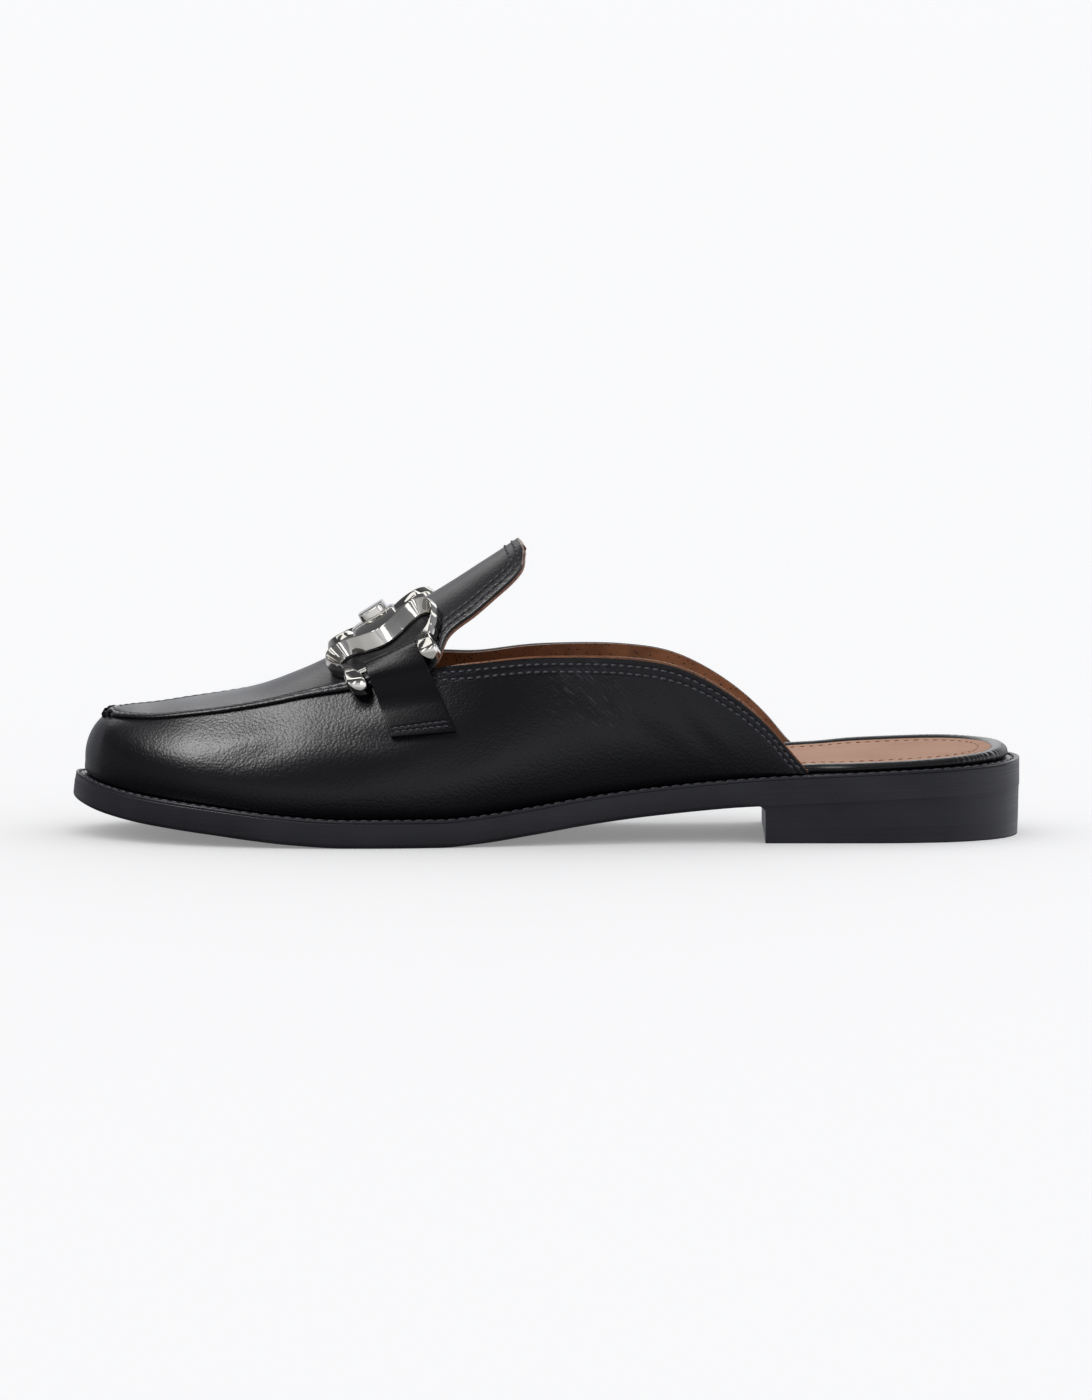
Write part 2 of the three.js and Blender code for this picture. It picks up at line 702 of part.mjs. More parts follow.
// The plate between the two links, with ends that follow their waves, and the boss on it.
function makeBridge() {
  const steps = 10;
  const columns = 12;
  const loops = Array.from({ length: steps + 1 }, (_, i) => {
    const forth = bridgeLength * (i / steps - 0.5);
    const reach = waveGirth(forth) - bandBase / 2 - gap;
    const rounds = Array.from({ length: columns + 1 }, (_, k) => reach * ((2 * k) / columns - 1));
    const edge = i === 0 || i === steps ? 0.75 : 1;
    const crown = (round) => edge * bridgeHeight * (1 - 0.12 * (round / reach) ** 2);
    return [
      ...rounds.map((round) => bitPoint(forth, round, gap)),
      ...rounds.reverse().map((round) => bitPoint(forth, round, gap + crown(round))),
    ];
  });
  const rings = [
    { size: 1, lift: -0.6 },
    { size: 1, lift: bossHeight * 0.45 },
    { size: 0.9, lift: bossHeight * 0.8 },
    { size: 0.62, lift: bossHeight },
  ].map(({ size, lift }) =>
    Array.from({ length: 20 }, (_, k) => {
      const angle = (tau * (k + 0.5)) / 20;
      const forth = Math.sign(Math.cos(angle)) * Math.abs(Math.cos(angle)) ** 0.6;
      const round = Math.sign(Math.sin(angle)) * Math.abs(Math.sin(angle)) ** 0.6;
      return bitPoint(
        (forth * size * bossLength) / 2,
        (round * size * bossGirth) / 2,
        gap + bridgeHeight + lift,
      );
    }),
  );
  return toGeometry(toSolid(skin(loops)).add(toSolid(skin(rings))));
}

// A tab: its top folds round the link's bar, and it lies on the apron's edge and the quarter,
// down to its two lower corners.
function makeTab(side, upperMesh) {
  const caster = new THREE.Raycaster();
  const inward = new THREE.Vector3(0, -side, 0);
  const cast = (x, z) => {
    caster.set(new THREE.Vector3(x, side * ballWidth, z), inward);
    return caster.intersectObject(upperMesh)[0].point;
  };
  const corner = ({ along, rise }) => [xOf(along), soleTopAt(along) + rise * collarRise];
  const [frontX, frontZ] = corner(tabCorners.front);
  const [backX, backZ] = corner(tabCorners.back);
  const grid = Array.from({ length: tabSteps.along + 1 }, (_, i) => {
    const t = i / tabSteps.along;
    return Array.from({ length: tabSteps.across + 1 }, (_, k) => {
      const e = k / tabSteps.across;
      const top = bitPoint((e - 0.5) * tabTopWidth, side * barGirth, 0);
      const x = THREE.MathUtils.lerp(top.x, THREE.MathUtils.lerp(frontX, backX, e), t);
      const z = THREE.MathUtils.lerp(top.z, THREE.MathUtils.lerp(frontZ, backZ, e), t);
      return cast(x, z);
    });
  });
  // Where the surface under it is hollow, the leather spans the hollow.
  for (let pass = 0; pass < 6; pass++)
    for (let i = 1; i < tabSteps.along; i++)
      for (let k = 0; k <= tabSteps.across; k++) {
        const spanned = (grid[i - 1][k].y + grid[i + 1][k].y) / 2;
        if (side * spanned > side * grid[i][k].y) grid[i][k].y = spanned;
      }
  const barLift = gap + bandHeight / 2;
  const foldRadius = barRadius + gap + tabThickness;
  const foldExtra = barLift + foldRadius - gap - tabThickness;
  const loops = grid.map((line, i) => {
    const before = grid[Math.max(0, i - 1)];
    const after = grid[Math.min(tabSteps.along, i + 1)];
    const fold = foldExtra * (1 - THREE.MathUtils.smoothstep(i / tabSteps.along, 0, 0.34));
    const lifted = (lift) =>
      line.map((point, k) => {
        const down = after[k].clone().sub(before[k]);
        const across = line[Math.min(tabSteps.across, k + 1)]
          .clone()
          .sub(line[Math.max(0, k - 1)]);
        const out = down.cross(across).normalize();
        if (out.y * side < 0) out.negate();
        return point.clone().addScaledVector(out, lift);
      });
    return [...lifted(gap * 1.7), ...lifted(gap * 1.7 + tabThickness + fold).reverse()];
  });
  const from = barEnd(1, side);
  const to = barEnd(-1, side);
  const axis = to.clone().sub(from).normalize();
  const middle = from.clone().add(to).multiplyScalar(0.5);
  const end = (sign) => middle.clone().addScaledVector(axis, (sign * tabTopWidth) / 2);
  const fold = cylinderBetween(end(-1), end(1), foldRadius, 20);
  const hole = cylinderBetween(from, to, barRadius + gap, 14);
  return toGeometry(toSolid(skin(loops)).add(toSolid(fold)).subtract(toSolid(hole)));
}

const materials = {
  soleRubber: new THREE.MeshStandardMaterial({ color: 0x1d1c20, roughness: 0.55, metalness: 0 }),
  blackLeather: new THREE.MeshStandardMaterial({ color: 0x17161a, roughness: 0.4, metalness: 0 }),
  tanLeather: new THREE.MeshStandardMaterial({ color: 0xc08a68, roughness: 0.6, metalness: 0 }),
  nickel: new THREE.MeshStandardMaterial({ color: 0xc9c6bd, roughness: 0.12, metalness: 1 }),
};

function part(name, geometry, material) {
  const mesh = new THREE.Mesh(geometry, materials[material]);
  mesh.name = name;
  return mesh;
}

const heelSplit = topPieceThickness;
const mule = new THREE.Group();
mule.add(part("outsole", makeOutsole(), "soleRubber"));
mule.add(part("welt", makeWelt(), "soleRubber"));
mule.add(
  part(
    "heel",
    makeHeelLayer(
      () => heelSplit + gap,
      (along) => undersideAt(along) - gap,
    ),
    "soleRubber",
  ),
);
mule.add(part("top_piece", makeHeelLayer(() => 0, () => heelSplit), "soleRubber"));
mule.add(part("footbed", makeFootbed(), "blackLeather"));
mule.add(part("sock", makeSock(), "tanLeather"));
const upper = part("upper", makeUpper(), "blackLeather");
mule.add(upper);
mule.add(part("tab_outer", makeTab(-1, upper), "blackLeather"));
mule.add(part("tab_inner", makeTab(1, upper), "blackLeather"));
mule.add(part("bit_link_outer", makeLink(-1), "nickel"));
mule.add(part("bit_link_inner", makeLink(1), "nickel"));
mule.add(part("bit_bridge", makeBridge(), "nickel"));

export default mule;
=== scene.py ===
import bpy
import json
import math
import numpy as np
from mathutils import Matrix, Vector
from mathutils.bvhtree import BVHTree

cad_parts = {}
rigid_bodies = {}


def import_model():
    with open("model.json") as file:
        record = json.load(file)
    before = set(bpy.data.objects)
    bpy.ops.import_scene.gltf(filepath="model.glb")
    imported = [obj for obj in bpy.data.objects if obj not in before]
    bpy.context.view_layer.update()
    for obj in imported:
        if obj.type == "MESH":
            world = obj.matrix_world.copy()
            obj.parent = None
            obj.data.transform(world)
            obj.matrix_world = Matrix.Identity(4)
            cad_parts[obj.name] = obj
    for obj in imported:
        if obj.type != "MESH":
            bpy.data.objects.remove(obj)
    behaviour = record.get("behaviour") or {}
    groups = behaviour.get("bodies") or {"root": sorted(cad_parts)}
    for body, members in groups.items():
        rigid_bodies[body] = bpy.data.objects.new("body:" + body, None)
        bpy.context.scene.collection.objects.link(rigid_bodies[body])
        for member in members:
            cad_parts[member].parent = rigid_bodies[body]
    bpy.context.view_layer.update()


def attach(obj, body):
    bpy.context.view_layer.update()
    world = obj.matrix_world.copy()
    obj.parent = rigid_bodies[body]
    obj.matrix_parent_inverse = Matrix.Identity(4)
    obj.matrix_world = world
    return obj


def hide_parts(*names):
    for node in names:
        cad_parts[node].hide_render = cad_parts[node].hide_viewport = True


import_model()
scene = bpy.context.scene
print("frame loaded")

# sizes of the shoe in millimetres, the part's own but for the heel's straighter sides
shoe = {
    "soleLength": 262, "ballWidth": 88, "outsoleThickness": 4.9, "weltThickness": 2.4,
    "weltWidth": 8, "heelLift": 13.7, "toeSpring": 9.6, "heelLength": 70.8, "heelTaper": 0.8,
    "heelBackTaper": 0.5, "heelCove": 2.2, "topPieceThickness": 4.6, "edgeBevel": 1.1,
    "toeLean": 0.8, "ledge": 3.3, "upperWall": 1.8, "collarRise": 41.2, "tongueRise": 71.9,
    "apronStep": 0.9, "apronLip": 0.7, "rimHeight": 3.6, "rimWidth": 5, "bedTilt": 0.046,
    "gap": 0.3,
}
soleLength = shoe["soleLength"]
ballWidth = shoe["ballWidth"]
gap = shoe["gap"]
soleThickness = shoe["outsoleThickness"] + gap + shoe["weltThickness"]

# along the length from the heel's back, outer and inner half width as shares of the ball width
outlineRows = [
    (0.008, 0.13, 0.13), (0.03, 0.229, 0.229), (0.069, 0.305, 0.305), (0.122, 0.339, 0.337),
    (0.191, 0.346, 0.336), (0.286, 0.346, 0.314), (0.382, 0.36, 0.296), (0.477, 0.4, 0.33),
    (0.573, 0.457, 0.407), (0.655, 0.494, 0.472), (0.725, 0.497, 0.499), (0.8, 0.475, 0.486),
    (0.865, 0.419, 0.444), (0.915, 0.342, 0.382), (0.953, 0.25, 0.303), (0.98, 0.155, 0.222),
    (0.9945, 0.056, 0.136),
]
toeTipInner = 0.042

# along the length, share of the heel lift, share of the toe spring
treadRows = [
    (0, 1, 0), (0.14, 0.88, 0), (0.275, 0.752, 0), (0.39, 0.558, 0), (0.457, 0.394, 0),
    (0.513, 0.219, 0), (0.57, 0.062, 0), (0.61, 0, 0), (0.71, 0, 0), (0.77, 0, 0.09),
    (0.81, 0, 0.2), (0.845, 0, 0.31), (0.893, 0, 0.45), (0.93, 0, 0.57), (0.965, 0, 0.74),
    (1, 0, 1),
]

# foot, edge, outer, inner, rise, inner rise, bulge, lean of the quarter's free top line
collarRows = [
    (0.225, 0.226, 0.309, 0.293, 0.019, 0.019, 0, 90),
    (0.243, 0.244, 0.312, 0.295, 0.155, 0.13, 0.02, 90),
    (0.267, 0.267, 0.318, 0.3, 0.337, 0.31, 0.04, 90),
    (0.298, 0.298, 0.324, 0.303, 0.524, 0.5, 0.05, 91),
    (0.336, 0.336, 0.332, 0.307, 0.697, 0.675, 0.06, 91),
    (0.374, 0.374, 0.338, 0.312, 0.813, 0.795, 0.07, 90),
    (0.418, 0.42, 0.344, 0.32, 0.886, 0.866, 0.07, 88),
    (0.462, 0.466, 0.347, 0.327, 0.937, 0.912, 0.07, 85),
    (0.513, 0.519, 0.346, 0.331, 0.988, 0.955, 0.07, 80),
    (0.565, 0.573, 0.338, 0.329, 1, 0.962, 0.07, 75),
]

# foot, edge, outer, inner, rise, bulge, lean, ridge, ridge rise of the apron's seam
seamRows = [
    (0.612, 0.621, 0.317, 0.313, 0.983, 0.07, 66, 0.653, 0.746),
    (0.654, 0.66, 0.313, 0.311, 0.905, 0.07, 60, 0.686, 0.671),
    (0.698, 0.702, 0.306, 0.308, 0.845, 0.07, 56, 0.72, 0.59),
    (0.744, 0.748, 0.297, 0.303, 0.784, 0.07, 53, 0.76, 0.509),
    (0.79, 0.794, 0.285, 0.294, 0.697, 0.07, 50, 0.802, 0.437),
    (0.838, 0.84, 0.272, 0.281, 0.614, 0.08, 47, 0.8435, 0.386),
    (0.882, 0.878, 0.249, 0.264, 0.556, 0.09, 43, 0.88, 0.35),
    (0.922, 0.91, 0.211, 0.236, 0.507, 0.09, 38, 0.912, 0.32),
    (0.955, 0.936, 0.157, 0.195, 0.476, 0.08, 33, 0.938, 0.299),
    (0.976, 0.9525, 0.1, 0.146, 0.455, 0.07, 30, 0.954, 0.28),
    (0.985, 0.961, 0.036, 0.092, 0.447, 0.06, 28, 0.962, 0.261),
]
toeRow = (0.9637, 0.028, 0.445, 0.06, 28)
apronFront = (0.9655, 0.002, 0.058, 0.438, 0.9657, 0.253)

# ridge, ridge rise, half width, drop of the free tongue
tongueRows = [
    (0.622, 0.812, 0.268, 0.128), (0.592, 0.876, 0.236, 0.113), (0.57, 0.92, 0.212, 0.101),
    (0.552, 0.954, 0.191, 0.09), (0.539, 0.979, 0.168, 0.075), (0.532, 0.992, 0.136, 0.052),
    (0.528, 1, 0.095, 0.028),
]

# forth and round of a link's line, from its middle to a foot
linkRows = [
    (0, 0.553), (0.3, 0.51), (0.56, 0.437), (0.77, 0.42), (0.935, 0.475), (1, 0.58),
    (0.95, 0.695), (0.8, 0.79), (0.71, 0.885), (0.695, 1),
]


def xOf(along):
    return soleLength * (0.5 - along)


def alongOf(x):
    return 0.5 - x / soleLength


def smoothStep(value, low, high):
    share = np.clip((value - low) / (high - low), 0, 1)
    return share * share * (3 - 2 * share)


# a smooth curve through a table's column, with no overshoot
def column(places, values):
    x = np.array(places, float)
    y = np.array(values, float)
    slope = np.diff(y) / np.diff(x)
    before = np.concatenate([slope[:1], slope])
    after = np.concatenate([slope, slope[-1:]])
    together = before + after
    sameWay = before * after > 0
    tangent = np.where(sameWay, 2 * before * after / np.where(together == 0, 1, together), 0)

    def read(at):
        at = np.asarray(at, float)
        i = np.clip(np.searchsorted(x, at, side="right") - 1, 0, len(x) - 2)
        width = x[i + 1] - x[i]
        t = np.clip((at - x[i]) / width, 0, 1)
        s = 1 - t
        return (
            y[i] * (1 + 2 * t) * s * s + tangent[i] * width * t * s * s
            + y[i + 1] * t * t * (3 - 2 * t) - tangent[i + 1] * width * t * t * s
        )

    return read


heelShare = column([row[0] for row in treadRows], [row[1] for row in treadRows])
toeShare = column([row[0] for row in treadRows], [row[2] for row in treadRows])


def undersideAt(along):
    return shoe["heelLift"] * heelShare(along) + shoe["toeSpring"] * toeShare(along)


def soleTopAt(along):
    return undersideAt(along) + soleThickness


# a smooth curve through points; t runs from 0 to 1 with the same share for each point
def curveAt(points, t, closed=False):
    t = np.asarray(t, float)
    count = len(points)
    if closed:
        place = (t % 1) * count
        first = np.floor(place).astype(int)
        share = (place - first)[..., None]
        p0, p1, p2, p3 = (points[(first + k) % count] for k in (-1, 0, 1, 2))
    else:
        padded = np.vstack([2 * points[0] - points[1], points, 2 * points[-1] - points[-2]])
        place = np.clip(t, 0, 1) * (count - 1)
        first = np.clip(np.floor(place), 0, count - 2).astype(int)
        share = (place - first)[..., None]
        p0, p1, p2, p3 = (padded[first + k] for k in (0, 1, 2, 3))
    t0 = 0.5 * (p2 - p0)
    t1 = 0.5 * (p3 - p1)
    return (
        p1 + t0 * share + (3 * (p2 - p1) - 2 * t0 - t1) * share ** 2
        + (2 * (p1 - p2) + t0 + t1) * share ** 3
    )


def unit(vectors):
    return vectors / np.maximum(np.linalg.norm(vectors, axis=-1, keepdims=True), 1e-9)


def tangentAt(points, t, closed=False):
    low = np.asarray(t, float) - 1e-4
    high = np.asarray(t, float) + 1e-4
    if not closed:
        low, high = np.clip(low, 0, 1), np.clip(high, 0, 1)
    return unit(curveAt(points, high, closed) - curveAt(points, low, closed))


outlinePoints = np.array(
    [(xOf(0), 0, 0)]
    + [(xOf(row[0]), -row[1] * ballWidth, 0) for row in outlineRows]
    + [(xOf(1), toeTipInner * ballWidth, 0)]
    + [(xOf(row[0]), row[2] * ballWidth, 0) for row in reversed(outlineRows)],
    float,
)
rowTurn = len(outlinePoints)
toeTurn = rowTurn / 2
roundOnce = curveAt(outlinePoints, np.linspace(0, 1, rowTurn * 20 + 1), True)
sideShift = -(roundOnce[:, 1].min() + roundOnce[:, 1].max()) / 2


# the outline, turn counting rows up the outer side and back down the inner side
def outlineAt(turn, inset=0.0):
    t = np.asarray(turn, float) / rowTurn
    tangent = tangentAt(outlinePoints, t, True)
    inward = np.stack([tangent[..., 1], -tangent[..., 0], np.zeros_like(tangent[..., 0])], -1)
    point = curveAt(outlinePoints, t, True)
    point[..., 1] += sideShift
    return point + unit(inward) * np.asarray(inset, float)[..., None]


def turnAt(along):
    low, high = 0.0, toeTurn
    for _ in range(40):
        middle = (low + high) / 2
        if alongOf(outlineAt(middle)[0]) < along:
            low = middle
        else:
            high = middle
    return low


# one ring of a sole piece; inset and height follow the length, height also the width
def level(turns, inset, height):
    along = alongOf(outlineAt(turns)[..., 0])
    insets = inset(along) if callable(inset) else np.full(len(turns), float(inset))
    points = outlineAt(turns, insets)
    place = alongOf(points[..., 0])
    points[..., 2] = height(place, points[..., 1])
    return points


apronRows = [apronFront] + list(reversed(seamRows)) + tongueRows
throatShare = len(seamRows) / (len(apronRows) - 1)  # the throat's place along the apron


def seamPoint(edge, outer, inner, rise, innerRise, side):
    across = -outer if side < 0 else inner
    height = soleTopAt(edge) + (rise if side < 0 else innerRise) * shoe["collarRise"]
    return (xOf(edge), across * ballWidth, height)


def ridgePoint(row):
    if len(row) == 4:
        place, rise, middle = row[0], row[1], 0
    else:
        place, rise = row[-2], row[-1]
        middle = (row[2] - row[1]) / 2 if len(row) == 6 else (row[3] - row[2]) / 2
    height = soleTopAt(place) + rise * shoe["tongueRise"] - shoe["apronStep"]
    return (xOf(place), middle * ballWidth, height)


ridgePoints = np.array([ridgePoint(row) for row in apronRows], float)


def apronEdgePoint(i, side):
    row = apronRows[i]
    if len(row) == 6:
        return seamPoint(row[0], row[1], row[2], row[3], row[3], side)
    if len(row) == 9:
        return seamPoint(row[1], row[2], row[3], row[4], row[4], side)
    tangent = tangentAt(ridgePoints, i / (len(apronRows) - 1))
    down = unit(np.array([tangent[2], 0, -tangent[0]]))
    point = ridgePoints[i] + down * row[3] * shoe["tongueRise"]
    return tuple(point + np.array([0, side * row[2] * ballWidth, 0]))


apronEdge = {
    side: np.array([apronEdgePoint(i, side) for i in range(len(apronRows))], float)
    for side in (-1, 1)
}


def apronArc(t, side):
    top = curveAt(ridgePoints, t)
    tangent = tangentAt(ridgePoints, t)
    forward = unit(np.stack([tangent[..., 0], 0 * tangent[..., 0], tangent[..., 2]], -1))
    down = np.stack([forward[..., 2], 0 * forward[..., 0], -forward[..., 0]], -1)
    outer = curveAt(apronEdge[-1], t)
    inner = curveAt(apronEdge[1], t)
    reach = np.where(np.asarray(side)[..., None] < 0, outer, inner) - top
    chord = np.abs(reach[..., 1])
    drop = np.maximum(0.05, (reach * down).sum(-1))
    radius = (chord ** 2 + drop ** 2) / (2 * drop)
    span = np.arcsin(np.minimum(1, chord / radius))
    return top, forward, down, radius, (reach * forward).sum(-1), span


# a point of the apron or tongue: across runs from -1 to 1 between its edges
def apronPoint(t, across, lift):
    t, across, lift = np.broadcast_arrays(*(np.asarray(v, float) for v in (t, across, lift)))
    side = np.where(across < 0, -1, 1)
    top, forward, down, radius, skew, span = apronArc(t, side)
    angle = np.abs(across) * span
    lifted = radius + lift
    point = top + down * (radius - lifted * np.cos(angle))[..., None]
    point = point + forward * (skew * across ** 2)[..., None]
    point[..., 1] += side * lifted * np.sin(angle)
    return point


wallRows = [(row, turnAt(row[0])) for row in collarRows + seamRows]


def wallTopPoint(row, side):
    if len(row) == 8:
        return seamPoint(row[1], row[2], row[3], row[4], row[5], side)
    return seamPoint(row[1], row[2], row[3], row[4], row[4], side)


# the turn, bulge and lean that the wall starts with at its foot
def wallFootPoint(row, turn):
    return (turn,) + (row[6:8] if len(row) == 8 else row[5:7])


wallTop = [wallTopPoint(row, -1) for row, _ in wallRows]
wallFoot = [wallFootPoint(row, turn) for row, turn in wallRows]
wallTop += [seamPoint(toeRow[0], -toeRow[1], toeRow[1], toeRow[2], toeRow[2], 1)]
wallFoot += [(toeTurn, toeRow[3], toeRow[4])]
wallTop += [wallTopPoint(row, 1) for row, _ in reversed(wallRows)]
wallFoot += [(rowTurn - turn, bulge, lean) for turn, bulge, lean in reversed(wallFoot[:-1])]
wallTop = np.array(wallTop, float)
wallFoot = np.array(wallFoot, float)
collarShare = len(collarRows) / (len(wallTop) - 1)  # the throat's place along the wall


# the vamp's and quarters' outside, as lines from the foot (first) to the top (last)
def wallLines(stations, ups):
    lines = []
    for t in stations:
        turn, bulge, lean = curveAt(wallFoot, t)
        foot = outlineAt(turn, shoe["ledge"])
        inward = outlineAt(turn, shoe["ledge"] + 1) - foot
        foot[2] = soleTopAt(alongOf(foot[0])) + gap
        top = curveAt(wallTop, t)
        height = top[2] - foot[2]
        reach = np.linalg.norm(top - foot)
        angle = math.radians(lean)
        flat = np.array([top[0] - foot[0], top[1] - foot[1], 0])
        leaning = smoothStep(float(flat @ inward), 0.5, 8)
        towards = unit(inward * (1 - leaning) + unit(flat) * leaning)
        low = foot - inward * bulge * height * 2 + np.array([0, 0, height * 0.42])
        high = top - towards * math.cos(angle) * reach * 0.34
        high = high - np.array([0, 0, math.sin(angle) * reach * 0.34])
        u = ups[:, None]
        lines.append(
            foot * (1 - u) ** 3 + 3 * low * u * (1 - u) ** 2
            + 3 * high * u * u * (1 - u) + top * u ** 3
        )
    return np.array(lines)


def lengthsAlong(points):
    steps = np.linalg.norm(np.diff(points, axis=0), axis=1)
    return np.concatenate([[0], np.cumsum(steps)])


def resample(points, distances):
    lengths = lengthsAlong(points)
    return np.stack([np.interp(distances, lengths, points[:, k]) for k in range(3)], -1)


def deselectAll():
    bpy.ops.object.select_all(action="DESELECT")


# a grid primitive whose points are moved to rows by columns of places, in millimetres
def gridPiece(name, points, uv=None):
    rows, columns = points.shape[:2]
    deselectAll()
    bpy.ops.mesh.primitive_grid_add(x_subdivisions=columns - 1, y_subdivisions=rows - 1, size=1)
    piece = bpy.context.object
    piece.name = piece.data.name = name
    mesh = piece.data
    mesh.vertices.foreach_set("co", (points * 0.001).astype(np.float32).ravel())
    if uv is not None:
        corners = np.zeros(len(mesh.loops), int)
        mesh.loops.foreach_get("vertex_index", corners)
        flat = (uv * 0.001).reshape(-1, 2)[corners]
        mesh.uv_layers[0].data.foreach_set("uv", flat.astype(np.float32).ravel())
    mesh.update()
    return piece


def editMesh(piece, *steps):
    deselectAll()
    piece.select_set(True)
    bpy.context.view_layer.objects.active = piece
    bpy.ops.object.mode_set(mode="EDIT")
    bpy.ops.mesh.select_all(action="SELECT")
    for step, settings in steps:
        step(**settings)
    bpy.ops.object.mode_set(mode="OBJECT")


def weldAndTurnOut(piece, distance=0.00002):
    editMesh(
        piece,
        (bpy.ops.mesh.remove_doubles, {"threshold": distance}),
        (bpy.ops.mesh.normals_make_consistent, {"inside": False}),
    )


def joined(name, pieces):
    deselectAll()
    for piece in pieces:
        piece.select_set(True)
    bpy.context.view_layer.objects.active = pieces[0]
    bpy.ops.object.join()
    pieces[0].name = pieces[0].data.name = name
    return pieces[0]


def applied(piece, kind, **settings):
    modifier = piece.modifiers.new(kind.title(), kind)
    for key, value in settings.items():
        setattr(modifier, key, value)
    deselectAll()
    piece.select_set(True)
    bpy.context.view_layer.objects.active = piece
    bpy.ops.object.modifier_apply(modifier=modifier.name)


def smooth(piece, degrees=40):
    deselectAll()
    piece.select_set(True)
    bpy.context.view_layer.objects.active = piece
    bpy.ops.object.shade_smooth_by_angle(angle=math.radians(degrees), keep_sharp_edges=False)


# a leather sheet from its outside surface: thickness inwards, with rounded cut edges
def leatherSheet(name, points, uv, thickness, edge, face, rim, outwards):
    # a grid primitive's faces look against the cross of its rows and columns
    if (surfaceNormals(points) * outwards).sum() > 0:
        points, uv = points[::-1], uv[::-1]
    piece = gridPiece(name, points, uv)
    piece.data.materials.append(face)
    piece.data.materials.append(rim)
    applied(piece, "SOLIDIFY", thickness=thickness * 0.001, offset=-1, use_even_offset=False,
            material_offset_rim=1)
    applied(piece, "BEVEL", width=edge * 0.001, segments=2, limit_method="ANGLE",
            angle_limit=math.radians(60), use_clamp_overlap=True, material=1)
    smooth(piece, 50)
    return piece


# a cap across a ring, from its first half over to its second
def capPiece(name, ring, lines):
    half = len(ring) // 2
    share = np.linspace(0, 1, lines)[None, :, None]
    cap = ring[:half, None] * (1 - share) + ring[::-1][:half, None] * share
    return gridPiece(name + "Cap", cap, cap[..., :2])


# a closed solid from rings of the outline: its side bands, and a cap on its first and last ring
def ringSolid(name, rings, capLines=9):
    count = rings[0].shape[0]
    around = np.array([np.vstack([ring, ring[:1]]) for ring in rings])
    turns = np.broadcast_to(np.arange(count + 1)[None, :, None], around.shape[:2] + (1,))
    length = lengthsAlong(around[0])
    uv = np.concatenate([length[turns], around[..., 2:3]], -1)
    bands = [gridPiece(name + "Side", around, uv)]
    bands += [capPiece(name, ring, capLines) for ring in (rings[0], rings[-1])]
    piece = joined(name, bands)
    weldAndTurnOut(piece)
    return piece


def ringTurns(count):
    return (np.arange(count) + 0.5) / count * rowTurn


def linear(hexColour):
    parts = [int(hexColour[i:i + 2], 16) / 255 for i in (1, 3, 5)]
    return tuple(c / 12.92 if c <= 0.04045 else ((c + 0.055) / 1.055) ** 2.4 for c in parts) + (1,)


# each input gets a value, or a link where it is another node's output
def feed(tree, node, inputs):
    for key, value in inputs.items():
        if isinstance(value, bpy.types.NodeSocket):
            tree.links.new(value, node.inputs[key])
        else:
            node.inputs[key].default_value = value


# stops are the places of a colour ramp, with hex colours or greys
def addNode(tree, kind, inputs=None, stops=(), **settings):
    node = tree.nodes.new(kind)
    for key, value in settings.items():
        setattr(node, key, value)
    feed(tree, node, inputs or {})
    if stops:
        while len(node.color_ramp.elements) < len(stops):
            node.color_ramp.elements.new(0.5)
        for element, (place, colour) in zip(node.color_ramp.elements, stops):
            element.position = place
            element.color = linear(colour) if isinstance(colour, str) else (colour,) * 3 + (1,)
    return node


def newMaterial(name):
    material = bpy.data.materials.new(name)
    material.use_nodes = True
    tree = material.node_tree
    place = addNode(tree, "ShaderNodeTexCoord").outputs["Object"]
    return material, tree, tree.nodes["Principled BSDF"], place


